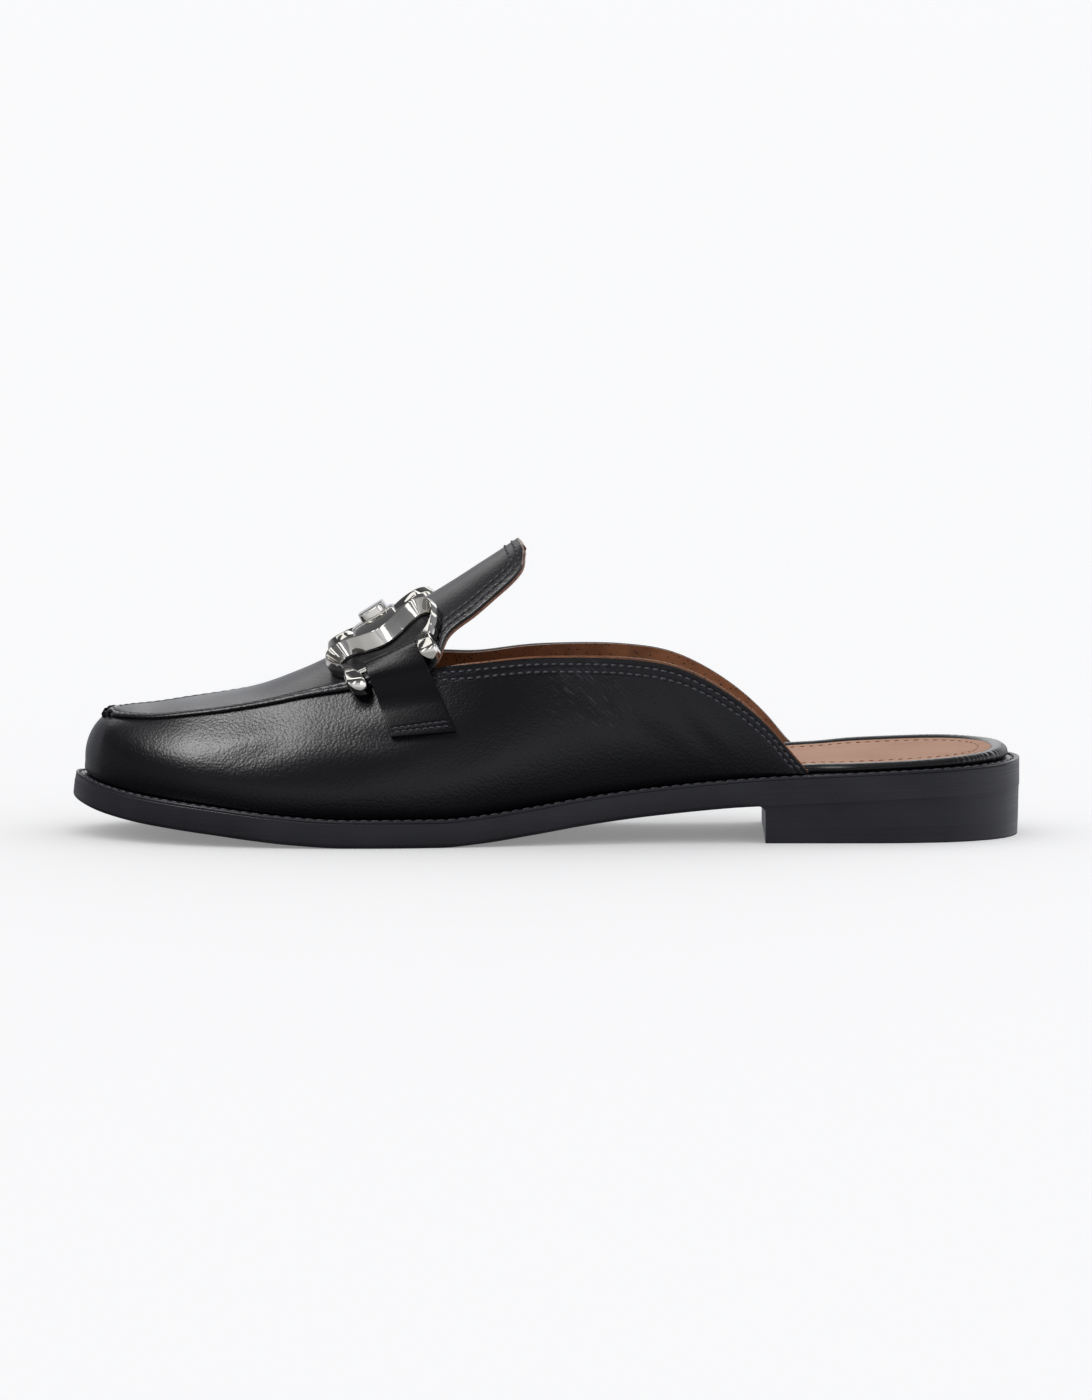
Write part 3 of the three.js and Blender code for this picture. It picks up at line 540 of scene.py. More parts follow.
# black box calf, pigmented and plated: a shallow pebble of about 0.7 mm under a low polish,
# which breaks a soft highlight into fine glints
def makeBoxCalf(name, base, pebble, grain, roughness, coat, shine):
    material, tree, shader, place = newMaterial(name)
    warp = addNode(tree, "ShaderNodeTexNoise", {"Vector": place, "Scale": 700.0, "Detail": 2.0})
    shifted = addNode(tree, "ShaderNodeVectorMath", {0: warp.outputs["Color"], 1: (0.0007,) * 3},
                      operation="MULTIPLY").outputs[0]
    bent = addNode(tree, "ShaderNodeVectorMath", {0: place, 1: shifted}, operation="ADD").outputs[0]
    pebbles = addNode(tree, "ShaderNodeTexVoronoi", {"Vector": bent, "Scale": 1000 / pebble},
                      feature="SMOOTH_F1")
    fine = addNode(tree, "ShaderNodeTexNoise", {"Vector": place, "Scale": 2600.0, "Detail": 3.0})
    broad = addNode(tree, "ShaderNodeTexNoise", {"Vector": place, "Scale": 95.0, "Detail": 2.0})
    patch = addNode(tree, "ShaderNodeTexNoise", {"Vector": place, "Scale": 24.0, "Detail": 3.0})
    first = addNode(tree, "ShaderNodeBump", {"Height": pebbles.outputs["Distance"],
                    "Distance": 0.0002, "Strength": grain}, invert=True)
    second = addNode(tree, "ShaderNodeBump", {"Height": fine.outputs["Fac"], "Distance": 0.00005,
                     "Strength": 0.35, "Normal": first.outputs[0]})
    third = addNode(tree, "ShaderNodeBump", {"Height": broad.outputs["Fac"], "Distance": 0.0006,
                    "Strength": 0.16, "Normal": second.outputs[0]})
    # fine rubbed hairlines on the quarter, under the collar
    hair = addNode(tree, "ShaderNodeMapping", {"Vector": place, "Rotation": (0.0, 0.72, 0.0),
                   "Scale": (0.005, 0.003, 0.0005)}, vector_type="TEXTURE")
    hairs = addNode(tree, "ShaderNodeTexNoise", {"Vector": hair.outputs[0], "Scale": 1.0,
                    "Detail": 3.0, "Distortion": 0.6})
    away = addNode(tree, "ShaderNodeVectorMath", {0: place, 1: (0.013, -0.031, 0.041)},
                   operation="DISTANCE").outputs["Value"]
    near = addNode(tree, "ShaderNodeMapRange", {"Value": away, "From Min": 0.005,
                   "From Max": 0.016, "To Min": 0.4, "To Max": 0.0}).outputs["Result"]
    thin = addNode(tree, "ShaderNodeValToRGB", {"Fac": hairs.outputs["Fac"]},
                   [(0.6, 0.0), (0.72, 1.0)]).outputs["Color"]
    rubbed = addNode(tree, "ShaderNodeMath", {0: thin, 1: near}, operation="MULTIPLY").outputs[0]
    tone = addNode(tree, "ShaderNodeValToRGB", {"Fac": patch.outputs["Fac"]},
                   [(0.3, base[0]), (0.75, base[1])]).outputs["Color"]
    worn = addNode(tree, "ShaderNodeMix", {0: rubbed, 6: tone, 7: linear("#55555a")},
                   data_type="RGBA").outputs[2]
    gloss = addNode(tree, "ShaderNodeValToRGB", {"Fac": patch.outputs["Fac"]},
                    [(0.35, roughness[0]), (0.7, roughness[1])]).outputs["Color"]
    feed(tree, shader, {"Base Color": worn, "Roughness": gloss, "Normal": third.outputs[0],
         "IOR": 1.5, "Specular IOR Level": shine, "Coat Weight": coat, "Coat Roughness": 0.28})
    return material


# a cut edge: the leather's fibre, bare or under black edge paint, matt and a little uneven
def makeCutEdge(name, dark, light):
    material, tree, shader, place = newMaterial(name)
    fibre = addNode(tree, "ShaderNodeTexNoise", {"Vector": place, "Scale": 1500.0, "Detail": 4.0})
    tone = addNode(tree, "ShaderNodeValToRGB", {"Fac": fibre.outputs["Fac"]},
                   [(0.3, dark), (0.7, light)]).outputs["Color"]
    bump = addNode(tree, "ShaderNodeBump", {"Height": fibre.outputs["Fac"], "Distance": 0.0001,
                   "Strength": 0.4}).outputs[0]
    feed(tree, shader, {"Base Color": tone, "Roughness": 0.6, "Normal": bump, "IOR": 1.5})
    return material


# brown pigskin lining, glazed: dark pores in small groups, about 1.3 mm apart
def makePigskin():
    material, tree, shader, place = newMaterial("pigskinLining")
    pores = addNode(tree, "ShaderNodeTexVoronoi", {"Vector": place, "Scale": 760.0,
                    "Randomness": 0.9})
    dots = addNode(tree, "ShaderNodeValToRGB", {"Fac": pores.outputs["Distance"]},
                   [(0.12, 0.0), (0.3, 1.0)]).outputs["Color"]
    patch = addNode(tree, "ShaderNodeTexNoise", {"Vector": place, "Scale": 140.0, "Detail": 5.0})
    tone = addNode(tree, "ShaderNodeValToRGB", {"Fac": patch.outputs["Fac"]},
                   [(0.3, "#6e4327"), (0.72, "#925e3c")]).outputs["Color"]
    mixed = addNode(tree, "ShaderNodeMix", {0: 0.75, 6: tone, 7: dots}, data_type="RGBA",
                    blend_type="MULTIPLY").outputs[2]
    bump = addNode(tree, "ShaderNodeBump", {"Height": dots, "Distance": 0.00012,
                   "Strength": 0.5}).outputs[0]
    feed(tree, shader, {"Base Color": mixed, "Roughness": 0.48, "Normal": bump, "IOR": 1.5})
    return material


# light tan vegetable-tanned sheepskin of the sock: matt, with a faint fine grain
def makeSockSkin():
    material, tree, shader, place = newMaterial("tanSheepskin")
    patch = addNode(tree, "ShaderNodeTexNoise", {"Vector": place, "Scale": 60.0, "Detail": 6.0})
    grain = addNode(tree, "ShaderNodeTexVoronoi", {"Vector": place, "Scale": 1500.0},
                    feature="SMOOTH_F1")
    tone = addNode(tree, "ShaderNodeValToRGB", {"Fac": patch.outputs["Fac"]},
                   [(0.3, "#9a6f55"), (0.7, "#a67b61")]).outputs["Color"]
    bump = addNode(tree, "ShaderNodeBump", {"Height": grain.outputs["Distance"],
                   "Distance": 0.0001, "Strength": 0.3}).outputs[0]
    feed(tree, shader, {"Base Color": tone, "Roughness": 0.6, "Normal": bump, "IOR": 1.5,
         "Specular IOR Level": 0.15})
    return material


# inked and waxed edge of sole and heel: long faint streaks from the trimming wheel
def makeSoleEdge():
    material, tree, shader, place = newMaterial("waxedSoleEdge")
    long = addNode(tree, "ShaderNodeMapping", {"Vector": place, "Scale": (22.0, 22.0, 1500.0)})
    streak = addNode(tree, "ShaderNodeTexNoise", {"Vector": long.outputs[0], "Scale": 1.0,
                     "Detail": 3.0})
    patch = addNode(tree, "ShaderNodeTexNoise", {"Vector": place, "Scale": 55.0, "Detail": 4.0})
    speck = addNode(tree, "ShaderNodeTexNoise", {"Vector": place, "Scale": 900.0, "Detail": 2.0})
    tone = addNode(tree, "ShaderNodeValToRGB", {"Fac": patch.outputs["Fac"]},
                   [(0.3, "#1b1b20"), (0.75, "#26262c")]).outputs["Color"]
    gloss = addNode(tree, "ShaderNodeValToRGB", {"Fac": streak.outputs["Fac"]},
                    [(0.3, 0.36), (0.7, 0.5)]).outputs["Color"]
    first = addNode(tree, "ShaderNodeBump", {"Height": streak.outputs["Fac"],
                    "Distance": 0.00012, "Strength": 0.35})
    second = addNode(tree, "ShaderNodeBump", {"Height": speck.outputs["Fac"],
                     "Distance": 0.00005, "Strength": 0.3, "Normal": first.outputs[0]})
    feed(tree, shader, {"Base Color": tone, "Roughness": gloss, "Normal": second.outputs[0],
         "IOR": 1.5, "Specular IOR Level": 0.35, "Coat Weight": 0.1, "Coat Roughness": 0.3})
    return material


# waxed polyester thread, twisted: a dull sheen, broken by the twist
def makeThread(name, dark, light):
    material, tree, shader, place = newMaterial(name)
    twist = addNode(tree, "ShaderNodeTexNoise", {"Vector": place, "Scale": 3500.0, "Detail": 1.0})
    tone = addNode(tree, "ShaderNodeValToRGB", {"Fac": twist.outputs["Fac"]},
                   [(0.3, dark), (0.7, light)]).outputs["Color"]
    bump = addNode(tree, "ShaderNodeBump", {"Height": twist.outputs["Fac"], "Distance": 0.0001,
                   "Strength": 0.6}).outputs[0]
    feed(tree, shader, {"Base Color": tone, "Roughness": 0.5, "Normal": bump, "IOR": 1.5,
         "Specular IOR Level": 0.4})
    return material


# cast zinc, polished and nickel plated: a mirror with the faint waviness of hand polishing
def makeNickel():
    material, tree, shader, place = newMaterial("polishedNickel")
    wave = addNode(tree, "ShaderNodeTexNoise", {"Vector": place, "Scale": 240.0, "Detail": 2.0})
    haze = addNode(tree, "ShaderNodeTexNoise", {"Vector": place, "Scale": 900.0, "Detail": 4.0})
    gloss = addNode(tree, "ShaderNodeValToRGB", {"Fac": haze.outputs["Fac"]},
                    [(0.35, 0.05), (0.75, 0.11)]).outputs["Color"]
    bump = addNode(tree, "ShaderNodeBump", {"Height": wave.outputs["Fac"], "Distance": 0.0004,
                   "Strength": 0.05}).outputs[0]
    feed(tree, shader, {"Base Color": linear("#dedbd4"), "Metallic": 1.0, "Roughness": gloss,
         "Normal": bump})
    return material


# white acrylic light table: matt, and lit a little from below
def makeBackdrop():
    material, tree, shader, _ = newMaterial("paleBackdrop")
    feed(tree, shader, {"Base Color": linear("#f4f4f4"), "Roughness": 0.9,
         "Specular IOR Level": 0.1, "Emission Color": linear("#ffffff"),
         "Emission Strength": 0.22})
    return material


boxCalf = makeBoxCalf("boxCalf", base=("#0a0a0e", "#0e0e13"), pebble=0.7, grain=0.36,
                      roughness=(0.29, 0.38), coat=0.1, shine=0.32)
# the tabs' leather is a darker, duller copy of the box calf: its darker base is painted shade on
# the tabs
tabCalfShaded = makeBoxCalf("tabCalfShaded", base=("#08080b", "#0c0c10"), pebble=0.6, grain=0.22,
                      roughness=(0.34, 0.42), coat=0.03, shine=0.17)
bedCalf = makeBoxCalf("bedCalf", base=("#0b0b0d", "#101012"), pebble=0.5, grain=0.25,
                      roughness=(0.32, 0.42), coat=0.15, shine=0.3)
paintedEdge = makeCutEdge("paintedEdge", "#141315", "#262427")
rawEdge = makeCutEdge("rawEdge", "#7d6a60", "#a8958a")
brownEdge = makeCutEdge("brownEdge", "#6b4636", "#96705e")
pigskin = makePigskin()
sockSkin = makeSockSkin()
soleEdge = makeSoleEdge()
blackThread = makeThread("blackThread", "#232328", "#4c4c55")
# the collar's thread is a slightly lighter copy of the black thread: a painted highlight for the
# glints on the collar stitches
collarThreadPaintedGlint = makeThread("collarThreadPaintedGlint", "#25252a", "#505059")
tanThread = makeThread("tanThread", "#7c5138", "#a07153")
nickel = makeNickel()
print("materials made")


def finished(piece, slot, material, *nodes):
    if not piece.data.materials:
        piece.data.materials.append(material)
    if nodes:
        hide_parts(*nodes)
    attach(piece, "root")
    return piece


# one stitch, modelled once: a short thread, round in section, whose ends dip into the leather
def stitchShape():
    deselectAll()
    bpy.ops.mesh.primitive_uv_sphere_add(segments=8, ring_count=7, radius=0.5)
    ball = bpy.context.object
    points = np.array([vertex.co[:] for vertex in ball.data.vertices])
    faces = [tuple(polygon.vertices) for polygon in ball.data.polygons]
    bpy.data.objects.remove(ball)
    points = points[:, [2, 0, 1]]
    points[:, 0] = np.sign(points[:, 0]) * np.abs(points[:, 0] * 2) ** 0.8 / 2
    return points, faces


stitchPoints, stitchFaces = stitchShape()


# stitches along paths, a pitch apart; normals say which way the leather faces
def stitchRow(name, paths, look, slot, material, seed):
    random = np.random.default_rng(seed)
    width = look["width"]
    points, faces = [], []
    for path, normals in paths:
        lengths = lengthsAlong(path)
        count = max(1, int(round(lengths[-1] / look["pitch"])))
        places = (np.arange(count) + 0.5) * lengths[-1] / count
        centres = resample(path, places)
        ahead = resample(path, np.minimum(places + 0.3, lengths[-1]))
        behind = resample(path, np.maximum(places - 0.3, 0))
        run = unit(ahead - behind)
        up = unit(np.stack([np.interp(places, lengths, normals[:, k]) for k in range(3)], -1))
        up = unit(up - run * (up * run).sum(-1, keepdims=True))
        over = np.cross(up, run)
        for k in range(count):
            lean = math.radians(look["slant"] + random.uniform(-4, 4))
            forth = run[k] * math.cos(lean) + over[k] * math.sin(lean)
            aside = np.cross(up[k], forth)
            long = look["length"] * random.uniform(0.93, 1.05)
            shape = (
                centres[k]
                + stitchPoints[:, :1] * long * forth
                + stitchPoints[:, 1:2] * width * aside
                + (stitchPoints[:, 2:] * width - 1.1 * width * stitchPoints[:, :1] ** 2) * up[k]
            )
            start = len(points) * len(stitchPoints)
            points.append(shape)
            faces.extend(tuple(v + start for v in face) for face in stitchFaces)
    mesh = bpy.data.meshes.new(name)
    mesh.from_pydata((np.vstack(points) * 0.001).tolist(), [], faces)
    piece = bpy.data.objects.new(name, mesh)
    scene.collection.objects.link(piece)
    weldAndTurnOut(piece, 1e-7)
    smooth(piece, 60)
    return finished(piece, slot, material)


soleLook = {
    "turns": 720, "beadWidth": 0.5, "leanFrom": (0.94, 0.995),
    "stitch": {"pitch": 3.0, "length": 2.5, "width": 0.62, "slant": 9},
}
breast = shoe["heelLength"] / soleLength
turns = ringTurns(soleLook["turns"])


def makeOutsole():
    bevel = shoe["edgeBevel"]

    def rounded(share):
        return lambda along: bevel * share * smoothStep(along, breast, breast * 1.15)

    def up(height):
        return lambda along, y: undersideAt(along) + height

    joint = shoe["outsoleThickness"] + gap / 2
    lean = shoe["toeLean"]
    rings = [level(turns, rounded(share), up(bevel * rise)) for share, rise in
             ((1.5, 0), (1, 0.02), (0.62, 0.13), (0.3, 0.38), (0.1, 0.7), (0, 1.1))]
    rings.append(level(
        turns, lambda along: lean * 0.5 * smoothStep(along, *soleLook["leanFrom"]),
        up(joint + 0.02)))
    rings.append(level(turns, 1.0, up(joint + 0.02)))
    piece = ringSolid("outsoleBody", rings)
    smooth(piece, 35)
    finished(piece, "sole_rubber", soleEdge, "outsole")


def makeWelt():
    def up(height):
        return lambda along, y: undersideAt(along) + shoe["outsoleThickness"] + gap / 2 + height

    thick = shoe["weltThickness"] + gap / 2
    lean = shoe["toeLean"]

    def inFrom(distance):
        share = distance[1]
        return lambda along: lean * smoothStep(along, *soleLook["leanFrom"]) * share + distance[0]

    bead = soleLook["beadWidth"]
    profile = [
        ((0, 0.6), 0), ((0, 0.9), thick - 0.95), ((0.14, 1), thick - 0.8), ((0.14, 1), thick - 0.7),
        ((0, 1), thick - 0.52), ((0.02, 1), thick - 0.25), ((0.16, 1), thick - 0.06),
        ((0.38, 1), thick), ((bead + 0.25, 1), thick - 0.1), ((bead + 0.5, 1), thick - 0.22),
        ((1.4, 0.9), thick - 0.24), ((2.0, 0.6), thick - 0.28), ((2.6, 0.3), thick - 0.2),
        ((3.4, 0), thick - 0.04), ((shoe["weltWidth"], 0), thick), ((shoe["weltWidth"], 0), 0),
    ]
    rings = [level(turns, inFrom(inset), up(height)) for inset, height in profile]
    rings.append(rings[0])
    around = np.array([np.vstack([ring, ring[:1]]) for ring in rings])
    piece = gridPiece("weltStrip", around, around[..., :2])
    weldAndTurnOut(piece)
    smooth(piece, 40)
    finished(piece, "sole_rubber", soleEdge, "welt")
    line = level(turns, 1.75, up(thick - 0.1))
    line = np.vstack([line, line[:1]])
    side = np.array([0, 0, 1.0]) + 0 * line
    stitchRow("weltStitches", [(line, side)], soleLook["stitch"], "sole_rubber", blackThread, 3)


heelLook = {"turns": 420, "toothPitch": 0.75, "toothHeight": 0.45, "coveSteps": 9, "coveLift": 0.03}


# a layer of the heel: the outline behind the breast, closed across by the breast's straight line
def heelRing(inset, height, front):
    reach = turnAt(front)
    steps = np.linspace(-reach, reach, heelLook["turns"])
    points = level(steps % rowTurn, inset, lambda along, y: 0 * along)
    points[:, 0] = np.maximum(points[:, 0], xOf(front))
    points[:, 2] = height(alongOf(points[:, 0]))
    return points


def heelTaper(z):
    def inset(along):
        full = shoe["heelBackTaper"] + (shoe["heelTaper"] - shoe["heelBackTaper"]) * smoothStep(
            along, 0, 0.08)
        return full * max(0, 1 - z / shoe["heelLift"])
    return inset


def heelSolid(name, rings, capLines=9):
    bands = [gridPiece(name + "Side", np.array(rings))]
    bands += [capPiece(name, ring, capLines) for ring in (rings[0], rings[-1])]
    share = np.linspace(0, 1, capLines)[None, :, None]
    ends = np.array([(ring[0], ring[-1]) for ring in rings])
    front = ends[:, None, 0] * (1 - share) + ends[:, None, 1] * share
    bands.append(gridPiece(name + "Front", front, front[..., 1:]))
    piece = joined(name, bands)
    weldAndTurnOut(piece)
    return piece


def makeHeel():
    split = shoe["topPieceThickness"] + gap / 2
    cove = shoe["heelCove"]
    high = float(undersideAt(breast))
    rings = []
    for share in (0, 0.03, 0.5, 0.8):
        z = split + (high - cove - split) * share
        rings.append(heelRing(
            heelTaper(z),
            lambda along, share=share: split + (undersideAt(along) - cove - split) * share,
            breast))
    for turn in np.linspace(0, 1, heelLook["coveSteps"]) * math.pi / 2:
        forward = cove * (1 - math.cos(turn)) / soleLength
        below = cove * (1 - math.sin(turn)) - heelLook["coveLift"]
        taper = heelTaper(high - below)
        rings.append(heelRing(
            taper, lambda along, below=below: undersideAt(along) - below, breast + forward))
    piece = heelSolid("heelBlock", rings)
    smooth(piece, 35)
    finished(piece, "sole_rubber", soleEdge, "heel")

    # the top piece's lower edge is cut in fine teeth
    base = heelRing(heelTaper(0), lambda along: 0 * along, breast)
    walk = lengthsAlong(base)
    count = int(walk[-1] / (heelLook["toothPitch"] / 2)) // 2 * 2
    places = np.linspace(0, walk[-1], count)

    def even(ring):
        lengths = lengthsAlong(ring)
        return resample(ring, places / places[-1] * lengths[-1])

    levels = [(0, 1.5, 0), (0, 0.55, 0.02), (0.1, 0.0, None), (0.6, 0, 0.6), (1.2, 0, 1.2),
              (3.2, 0, 3.2), (split, 0, split)]
    rings = []
    for z, inset, height in levels:
        taper = heelTaper(z)
        ring = even(heelRing(lambda along, t=taper, d=inset: t(along) + d, lambda along: 0 * along,
                             breast))
        if height is None:
            ring[:, 2] = np.where(np.arange(count) % 2 == 0, 0.0, heelLook["toothHeight"])
        else:
            ring[:, 2] = height
        rings.append(ring)
    piece = heelSolid("heelTopPiece", rings)
    smooth(piece, 25)
    finished(piece, "sole_rubber", soleEdge, "top_piece")


makeOutsole()
makeWelt()
makeHeel()
print("sole made")

bedLook = {
    "turns": 900, "wrinklePitch": 1.7, "wrinkleDepth": 0.11, "wrinkleEnds": (0.06, 0.2),
    "fill": 0.9, "sockTurns": 600, "sockDrop": 0.75, "sockEnd": 0.62,
    "stitch": {"pitch": 2.7, "length": 1.5, "width": 0.3, "slant": 2},
}
quarterEnd = collarRows[0][0]


def bedInset(along):
    inside = shoe["upperWall"] + gap
    return shoe["ledge"] + inside * smoothStep(along, quarterEnd - 0.05, quarterEnd - 0.005)


def above(rise):
    def height(along, y):
        tilt = shoe["bedTilt"] * (rise / shoe["rimHeight"]) * (1 - smoothStep(along, 0.42, 0.58))
        return soleTopAt(along) + rise + tilt * y
    return height


def makeFootbed():
    bedTurns = ringTurns(bedLook["turns"])
    high, wide = shoe["rimHeight"], shoe["rimWidth"]
    profile = [(0.45, 0.05), (0.16, 0.06), (0.04, 0.2), (0.0, 0.4), (0.03, 0.62), (0.12, 0.82),
               (0.26, 0.95), (0.42, 1.0), (0.58, 0.985), (0.74, 0.93), (0.88, 0.84), (1.02, 0.7),
               (1.15, 0.58)]
    rings = []
    length = lengthsAlong(level(bedTurns, bedInset, above(0)))
    for across, rise in profile:
        ring = level(
            bedTurns, lambda along, a=across: bedInset(along) + a * wide, above(rise * high))
        # the gathered leather of the rim, where it turns round the heel
        bend = 1 - smoothStep(alongOf(ring[:, 0]), *bedLook["wrinkleEnds"])
        wave = np.cos(2 * math.pi * length / bedLook["wrinklePitch"]
                      + 2.6 * np.sin(length / 4.1) + 1.9 * np.sin(length / 1.7))
        strength = bedLook["wrinkleDepth"] * math.exp(-((across - 0.12) / 0.28) ** 2)
        centre = level(bedTurns, lambda along: bedInset(along) + wide * 0.5, above(high * 0.3))
        outward = unit(ring - centre)
        swell = 0.1 * np.sin(length / 9.3 + 0.6) + 0.07 * np.sin(length / 3.9)
        ring += outward * ((wave - 0.6) * strength * bend + swell * 0.5)[:, None]
        rings.append(ring)
    piece = ringSolid("footbedRim", rings, 7)
    smooth(piece, 60)
    finished(piece, "bed_leather", bedCalf, "footbed")


def makeSock():
    sockTurns = ringTurns(bedLook["sockTurns"])
    wide = shoe["rimWidth"]
    floor = shoe["rimHeight"] - bedLook["sockDrop"]
    rows = [(wide * 0.98, floor - 0.5), (wide * 0.9, floor - 0.1), (wide * 0.88, floor + 0.12),
            (wide * 0.93, floor + 0.26), (wide * 1.05, floor + 0.3), (wide * 1.4, floor + 0.22),
            (wide * 1.62, floor + 0.12), (wide * 1.78, floor + 0.2), (wide * 2.4, floor + 0.16),
            (wide * 3.2, floor + 0.05)]
    rings = [level(sockTurns, lambda along, d=inset: bedInset(along) + d, above(rise))
             for inset, rise in rows]
    piece = ringSolid("sockLining", rings, 15)
    smooth(piece, 50)
    finished(piece, "sock_leather", sockSkin, "sock")
    line = level(sockTurns, lambda along: bedInset(along) + wide * 1.62, above(floor + 0.24))
    keep = alongOf(line[:, 0]) < bedLook["sockEnd"]
    first = int(np.argmin(keep))
    last = len(keep) - int(np.argmin(keep[::-1]))
    path = np.vstack([line[last:], line[:first]])
    stitchRow("sockStitches", [(path, np.array([0, 0, 1.0]) + 0 * path)], bedLook["stitch"],
              "sock_leather", tanThread, 5)


makeFootbed()
makeSock()
print("footbed made")

wallLook = {
    "stations": 641, "edgeRows": 26, "lowRows": 34, "edgeZone": 7.0, "leather": 1.1,
    "lining": 0.8, "cutEdge": 0.28, "between": 0.03, "liningProud": (0.6, -0.1), "wide": 520,
    "evenTurns": 10, "toeTurns": 70, "meanHeight": 40, "groove": 0.08, "grooveWidth": 0.45,
    "stitchRows": (1.8, 3.9), "stitchLift": 0.1, "stitchEnd": 0.004,
    "stitch": {"pitch": 2.3, "length": 1.6, "width": 0.66, "slant": 6},
}

# soft creases of the quarters and vamp: along, share of height, half length, half width, depth
# and slope in degrees
creaseRows = [
    (0.455, 0.72, 9, 2.2, 0.28, 62), (0.437, 0.66, 7, 1.8, 0.22, 70),
    (0.48, 0.8, 6, 1.6, 0.16, 55), (0.41, 0.5, 13, 3.4, 0.2, 35),
    (0.60, 0.35, 15, 4.5, 0.25, -20), (0.67, 0.55, 10, 3.0, 0.18, 12),
    (0.72, 0.30, 14, 4.0, 0.2, 5), (0.345, 0.45, 9, 3.0, 0.16, 50),
    (0.80, 0.5, 9, 3.6, 0.16, -15),
]


def surfaceNormals(points):
    along = np.gradient(points, axis=0)
    across = np.gradient(points, axis=1)
    return unit(np.cross(along, across))


def makeWall():
    look = wallLook
    stations = np.linspace(0, 1, look["stations"])
    ups = np.linspace(1, 0, 90)
    lines = wallLines(stations, ups)
    grid, fromEdge, heights = [], [], []
    zone = np.linspace(0, 1, look["edgeRows"])
    low = np.linspace(0, 1, look["lowRows"] + 1)[1:]
    for line in lines:
        total = lengthsAlong(line)[-1]
        near = min(look["edgeZone"], total * 0.6)
        distances = np.concatenate([zone * near, near + (total - near) * low])
        grid.append(resample(line, distances))
        fromEdge.append(distances)
        heights.append(1 - distances / total)
    grid = np.array(grid)
    fromEdge = np.array(fromEdge)
    heights = np.array(heights)
    # the leather lasts smoothly round the toe and along the sides
    atToe = np.exp(-((stations[:, None] - 0.5) / 0.05) ** 4) * smoothStep(heights, 0.02, 0.22)
    atToe = atToe[1:-1, :, None]
    for turn in range(look["toeTurns"]):
        share = 1.0 if turn < look["evenTurns"] else atToe
        grid[1:-1] += share * ((grid[:-2] + grid[2:]) / 2 - grid[1:-1]) * 0.5
    normals = surfaceNormals(grid)
    if (normals[len(normals) // 4, 20] @ np.array([0, -1, 0])) < 0:
        normals = -normals
    along = alongOf(grid[..., 0])
    free = 1 - smoothStep(np.minimum(stations, 1 - stations), collarShare - 0.02, collarShare)
    free = free[:, None]
    sewn = sum(look["groove"] * np.exp(-((fromEdge - place) / look["grooveWidth"]) ** 2) * free
               for place in look["stitchRows"])
    moved = -sewn
    side = np.where(grid[..., 1] < 0, -1, 1)
    for number, (place, share, half, wide, depth, slope) in enumerate(creaseRows):
        forth = (along - place) * soleLength
        rise = (heights - share) * look["meanHeight"]
        angle = math.radians(slope)
        run = forth * math.cos(angle) + rise * math.sin(angle)
        off = -forth * math.sin(angle) + rise * math.cos(angle)
        strength = depth * np.where(side < 0, 1.0, 0.6 if number % 2 else 1.0)
        body = np.exp(-(run / half) ** 2)
        moved += strength * body * (0.55 * np.exp(-((off - 2 * wide) / wide) ** 2)
                                    - np.exp(-(off / wide) ** 2))
    # the leather turns in a little at its foot, where it is drawn under
    moved -= 0.35 * np.exp(-(heights * look["meanHeight"] / 1.2) ** 2)
    grid = grid + normals * moved[..., None]
    uv = np.stack([stations[:, None] * look["wide"] + 0 * fromEdge, fromEdge], -1)
    edge = look["cutEdge"]
    outer = leatherSheet("vampQuarters", grid, uv, look["leather"], edge, boxCalf, paintedEdge,
                         normals)
    inner = grid - normals * (look["leather"] + look["between"] - sewn)[..., None]
    # the lining's cut edge stands a little above the leather's on the outer side
    proud = np.where(side[:, :1] < 0, *look["liningProud"]) * free
    inner[:, 0] += unit(inner[:, 0] - inner[:, 2]) * proud
    lining = leatherSheet("quarterLining", inner, uv, look["lining"], edge, pigskin, rawEdge,
                          normals)
    return outer, lining, grid, normals, fromEdge, stations


outerWall, wallLining, wallGrid, wallNormals, wallFromEdge, wallStations = makeWall()
finished(outerWall, "upper_leather", boxCalf, "upper")
finished(wallLining, "upper_leather", pigskin)
print("vamp and quarters made")


# a line on the wall a fixed distance from its top edge, and the way the leather faces there
def wallPath(distance, low, high):
    keep = (wallStations >= low) & (wallStations <= high)
    path, normals = [], []
    for line, normal, edge in zip(wallGrid[keep], wallNormals[keep], wallFromEdge[keep]):
        if edge[-1] < distance + 1:
            continue
        path.append([np.interp(distance, edge, line[:, k]) for k in range(3)])
        normals.append([np.interp(distance, edge, normal[:, k]) for k in range(3)])
    path, normals = np.array(path), unit(np.array(normals))
    return path + normals * wallLook["stitchLift"], normals


end = wallLook["stitchEnd"]
collarStitches = [
    wallPath(distance, low, high)
    for distance in wallLook["stitchRows"]
    for low, high in ((end, collarShare - end), (1 - collarShare + end, 1 - end))
]
stitchRow("collarStitches", collarStitches, wallLook["stitch"], "upper_leather", collarThreadPaintedGlint, 7)

apronLook = {
    "stations": 520, "edgeRows": 18, "middleRows": 14, "edgeZone": 5.4, "leather": 1.25,
    "lining": 1.0, "between": 0.03, "lipHeight": 0.4, "seamGroove": 0.5, "tongueGroove": 0.05,
    "pucker": 0.09, "puckerPitch": 2.75, "wave": 0.1, "bareFrom": 0.0755, "seamRow": 2.5,
    "seamDepth": -0.2, "tongueRows": (2.0, 4.3), "tongueLift": 0.08,
    "seam": {"pitch": 2.75, "length": 2.3, "width": 0.62, "slant": 4},
    "stitch": {"pitch": 2.3, "length": 1.6, "width": 0.66, "slant": 6},
}


